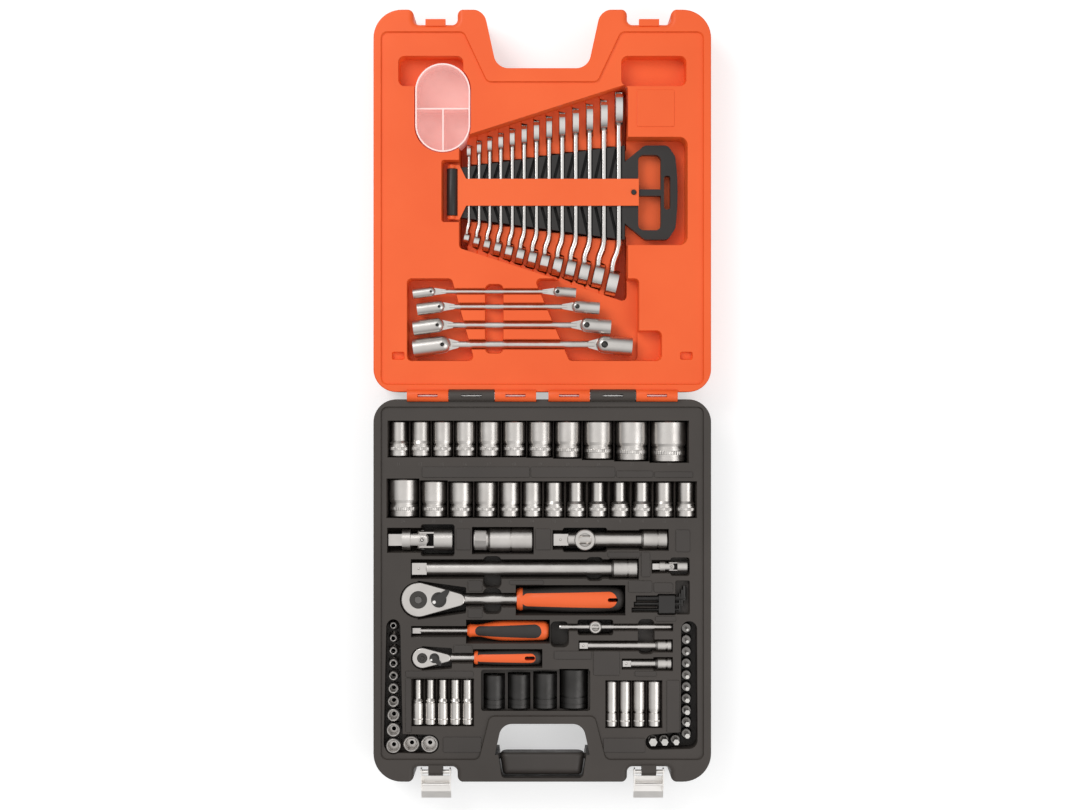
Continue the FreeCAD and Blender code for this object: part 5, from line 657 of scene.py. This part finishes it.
def open_runs(x):
    """Stretches along y where the wrench hollow lies open beside the rack."""
    runs, start = [], None
    for step in HOLLOW_ROWS:
        y = MM * step
        racked = any(surface("wrench_rack", x + aside, y + along)
                     for aside in RACK_ASIDE for along in RACK_ALONG)
        if surface("lid_shell", x, y, ABOVE) < HOLLOW and not racked:
            start = y if start is None else start
        elif start is not None:
            if y - start > LEAST_RUN:
                runs.append((start, y - MM))
            start = None
    return runs


def wall(x, y, way):
    """Where the wall of the wrench hollow is met, from a place near it."""
    step = WALL_STEP * way
    for _ in range(WALL_TRIES):
        if surface("lid_shell", x, y + step, ABOVE) < HOLLOW:
            y += step
    for _ in range(WALL_TRIES):
        if surface("lid_shell", x, y, ABOVE) > HOLLOW:
            y -= step
    return y + INTO_WALL * way


def hollow_ribs(top=0.034, foot=0.0123, rows=26):
    """The raised floor of the wrench hollow, with a slot left round each wrench."""
    shape = bmesh.new()
    wrenches = sorted(solids("combination_wrenches"), key=lambda solid: solid[0])
    for pair in zip(wrenches, wrenches[1:]):
        for run in open_runs((pair[0][1][0] + pair[1][0][0]) / 2):
            sides = []
            for wrench, side in zip(pair, (1, 0)):
                start, end = run
                if end < RACK_MIDDLE:
                    start = wall(wrench_edges(*wrench, start)[side], start, -1)
                else:
                    end = wall(wrench_edges(*wrench, end)[side], end, 1)
                path = [start + (end - start) * row / rows for row in range(rows + 1)]
                sides.append([(wrench_edges(*wrench, y)[side], y) for y in path])
            rings = []
            for (low, near), (high, far) in zip(*sides):
                if high - low < LEAST_WIDTH:
                    middle = (low + high) / 2
                    low, high = middle - LEAST_WIDTH / 2, middle + LEAST_WIDTH / 2
                edge = min(RIB_EDGE, 0.25 * (high - low))
                rings.append([(low, near, foot), (low, near, top - edge), (low + edge, near, top),
                              (high - edge, far, top), (high, far, top - edge), (high, far, foot)])
            skin(shape, rings)
    bmesh.ops.recalc_face_normals(shape, faces=shape.faces)
    piece("hollow_ribs", poured("hollow_ribs", shape), "lid", ORANGE)


def bore(name, x, y):
    """Radius of the hole in a node's upper surface at a place."""
    turns = [math.tau * step / 16 for step in range(16)]
    rim = [(math.cos(turn), math.sin(turn)) for turn in turns]
    for step in BORE_STEPS:
        reach = BORE_STEP * step
        if any(surface(name, x + reach * across, y + reach * along) for across, along in rim):
            return reach


def swivel_pins():
    """The dark riveted end of each swivel pin on the flex-head wrenches."""
    for joint in frame["joints"]:
        head, shaft = joint["child"], joint["parent"]
        if head.startswith("flex_head"):
            x, y = joint["pos_m"][:2]
            dome(head + "_pin", shaft, x, y, surface(shaft, x, y), bore(head, x, y) - PIN_ROOM, DARK)


OD_PER_FLATS, OD_EXTRA, DRIVE_OD = 1.2, 3.6, 20.8  # outer sizes of the half-inch sockets, in mm
UPPER_FLATS = (11, 13, 15, 16, 17, 18, 19, 21, 24, 27, 30)
LOWER_FLATS = (24, 20, 18, 17, 15, 14, 12, 10, 9, 8, 10, 12, 11)
# sizes, left and right end in mm, and the place of the numbers along y
MARK_ROWS = ((UPPER_FLATS, -168.0, 159.0, 0.1370), (LOWER_FLATS, -169.0, 168.0, 0.0745))
MARK_HEIGHT, MARK_RISE = 0.0046, 0.0002


def row_centres(flats, left, right):
    """Middle of each socket of a row, from the sizes across flats."""
    widths = [max(OD_PER_FLATS * size + OD_EXTRA, DRIVE_OD) for size in flats]
    gap = (right - left - sum(widths)) / (len(flats) - 1)
    centres = []
    for width in widths:
        centres.append(left + width / 2)
        left += width + gap
    return centres


def size_marks():
    """Low raised numbers on the deck, one under each half-inch socket."""
    shape = bmesh.new()
    for flats, left, right, y in MARK_ROWS:
        for size, x in zip(flats, row_centres(flats, left, right)):
            words = bpy.data.curves.new("mark", "FONT")
            words.body = str(size)
            words.size = MARK_HEIGHT
            words.align_x = "CENTER"
            words.extrude = MARK_RISE
            words.resolution_u = 2
            text = bpy.data.objects.new("mark", words)
            text.location = (MM * x, y, surface("base_shell", MM * x, y))
            scene.collection.objects.link(text)
            bpy.context.view_layer.update()
            mesh = bpy.data.meshes.new_from_object(text.evaluated_get(bpy.context.evaluated_depsgraph_get()))
            mesh.transform(text.matrix_world)
            shape.from_mesh(mesh)
            bpy.data.objects.remove(text)
    piece("size_marks", poured("size_marks", shape), "base", MARK_PAINTED_HIGHLIGHT)


lever_marks()
cross_pins()
lid_plate()
deck_plates()
hollow_ribs()
swivel_pins()
size_marks()
knurls("sockets_upper_row", 0.17, 0.27)
knurls("sockets_lower_row", 0.17, 0.27)
knurls("deep_sockets", 0.09, 0.15)

for name, width in BEVELS.items():
    soften(shown[name], width)
even = shown["base_shell"].modifiers.new("even", "WEIGHTED_NORMAL")
even.keep_sharp = True
even.weight = 100


# Stage: pale floor, even studio light, camera straight above

def floor():
    """A wide pale floor just under the part, brighter where it is seen than where it lights."""
    mesh = bpy.data.meshes.new("floor")
    size, low = 40.0, -0.0004
    corners = [(-size, -size, low), (size, -size, low), (size, size, low), (-size, size, low)]
    mesh.from_pydata(corners, [], [(0, 1, 2, 3)])
    plane = bpy.data.objects.new("floor", mesh)
    scene.collection.objects.link(plane)
    made = Shader("floor", Roughness=0.9, Specular_IOR_Level=0.1)
    made.main.inputs["Base Color"].default_value = (0.62, 0.62, 0.62, 1)
    made.main.inputs["Emission Color"].default_value = (1, 1, 1, 1)
    seen = made.node("LightPath").outputs
    total = seen["Is Camera Ray"]
    for other in ("Is Glossy Ray", "Is Transmission Ray"):
        joined = made.node("Math", operation="MAXIMUM")
        made.link(total, joined.inputs[0])
        made.link(seen[other], joined.inputs[1])
        total = joined.outputs["Value"]
    glow = made.node("Math", operation="MULTIPLY")
    glow.inputs[1].default_value = 0.5
    made.link(total, glow.inputs[0])
    made.link(glow.outputs["Value"], made.main.inputs["Emission Strength"])
    mesh.materials.append(made.material)
    plane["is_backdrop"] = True


def lamp(name, place, aim, size, power):
    """A soft area light that looks at a place."""
    light = bpy.data.lights.new(name, "AREA")
    light.shape = "RECTANGLE"
    light.size, light.size_y = size
    light.energy = power
    made = bpy.data.objects.new(name, light)
    made.location = place
    made.rotation_euler = (Vector(aim) - Vector(place)).to_track_quat("-Z", "Y").to_euler()
    scene.collection.objects.link(made)


def world():
    """Even light from all round, paler towards the top."""
    made = bpy.data.worlds.new("studio")
    made.use_nodes = True
    tree = made.node_tree
    where = tree.nodes.new("ShaderNodeTexCoord")
    split = tree.nodes.new("ShaderNodeSeparateXYZ")
    ramp = tree.nodes.new("ShaderNodeValToRGB")
    tree.links.new(where.outputs["Generated"], split.inputs["Vector"])
    tree.links.new(split.outputs["Z"], ramp.inputs["Fac"])
    ramp.color_ramp.elements[0].position = 0.05
    ramp.color_ramp.elements[0].color = (0.20, 0.20, 0.20, 1)
    ramp.color_ramp.elements[1].position = 0.95
    ramp.color_ramp.elements[1].color = (1.0, 1.0, 1.0, 1)
    tree.links.new(ramp.outputs["Color"], tree.nodes["Background"].inputs["Color"])
    tree.nodes["Background"].inputs["Strength"].default_value = 0.9
    scene.world = made


PHOTO_WIDTH, PIXEL = 1080, 0.001095  # the photo's pixels across, and one pixel at the rim in metres
CAMERA_X, CAMERA_Y, DISTANCE, RIM = -0.0025, 0.2033, 1.9, 0.058
SENSOR = 36.0


def camera():
    """Straight above the open case, with the photo's scale at the height of the rim."""
    made = bpy.data.objects.new("camera", bpy.data.cameras.new("camera"))
    made.location = (CAMERA_X, CAMERA_Y, DISTANCE + RIM)
    made.data.sensor_width = SENSOR
    made.data.lens = SENSOR * DISTANCE / (PHOTO_WIDTH * PIXEL)
    scene.collection.objects.link(made)
    scene.camera = made


floor()
world()
lamp("key", (-1.3, 1.5, 1.9), (0, 0.2, 0), (1.3, 1.3), 26)
lamp("fill", (1.7, -0.6, 1.7), (0, 0.2, 0), (1.6, 1.6), 14)
camera()
scene.view_settings.view_transform = "Standard"

boxes = {"cad": cad_box, "visual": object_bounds()}
{name: [list(corner) for corner in box] for name, box in boxes.items()}
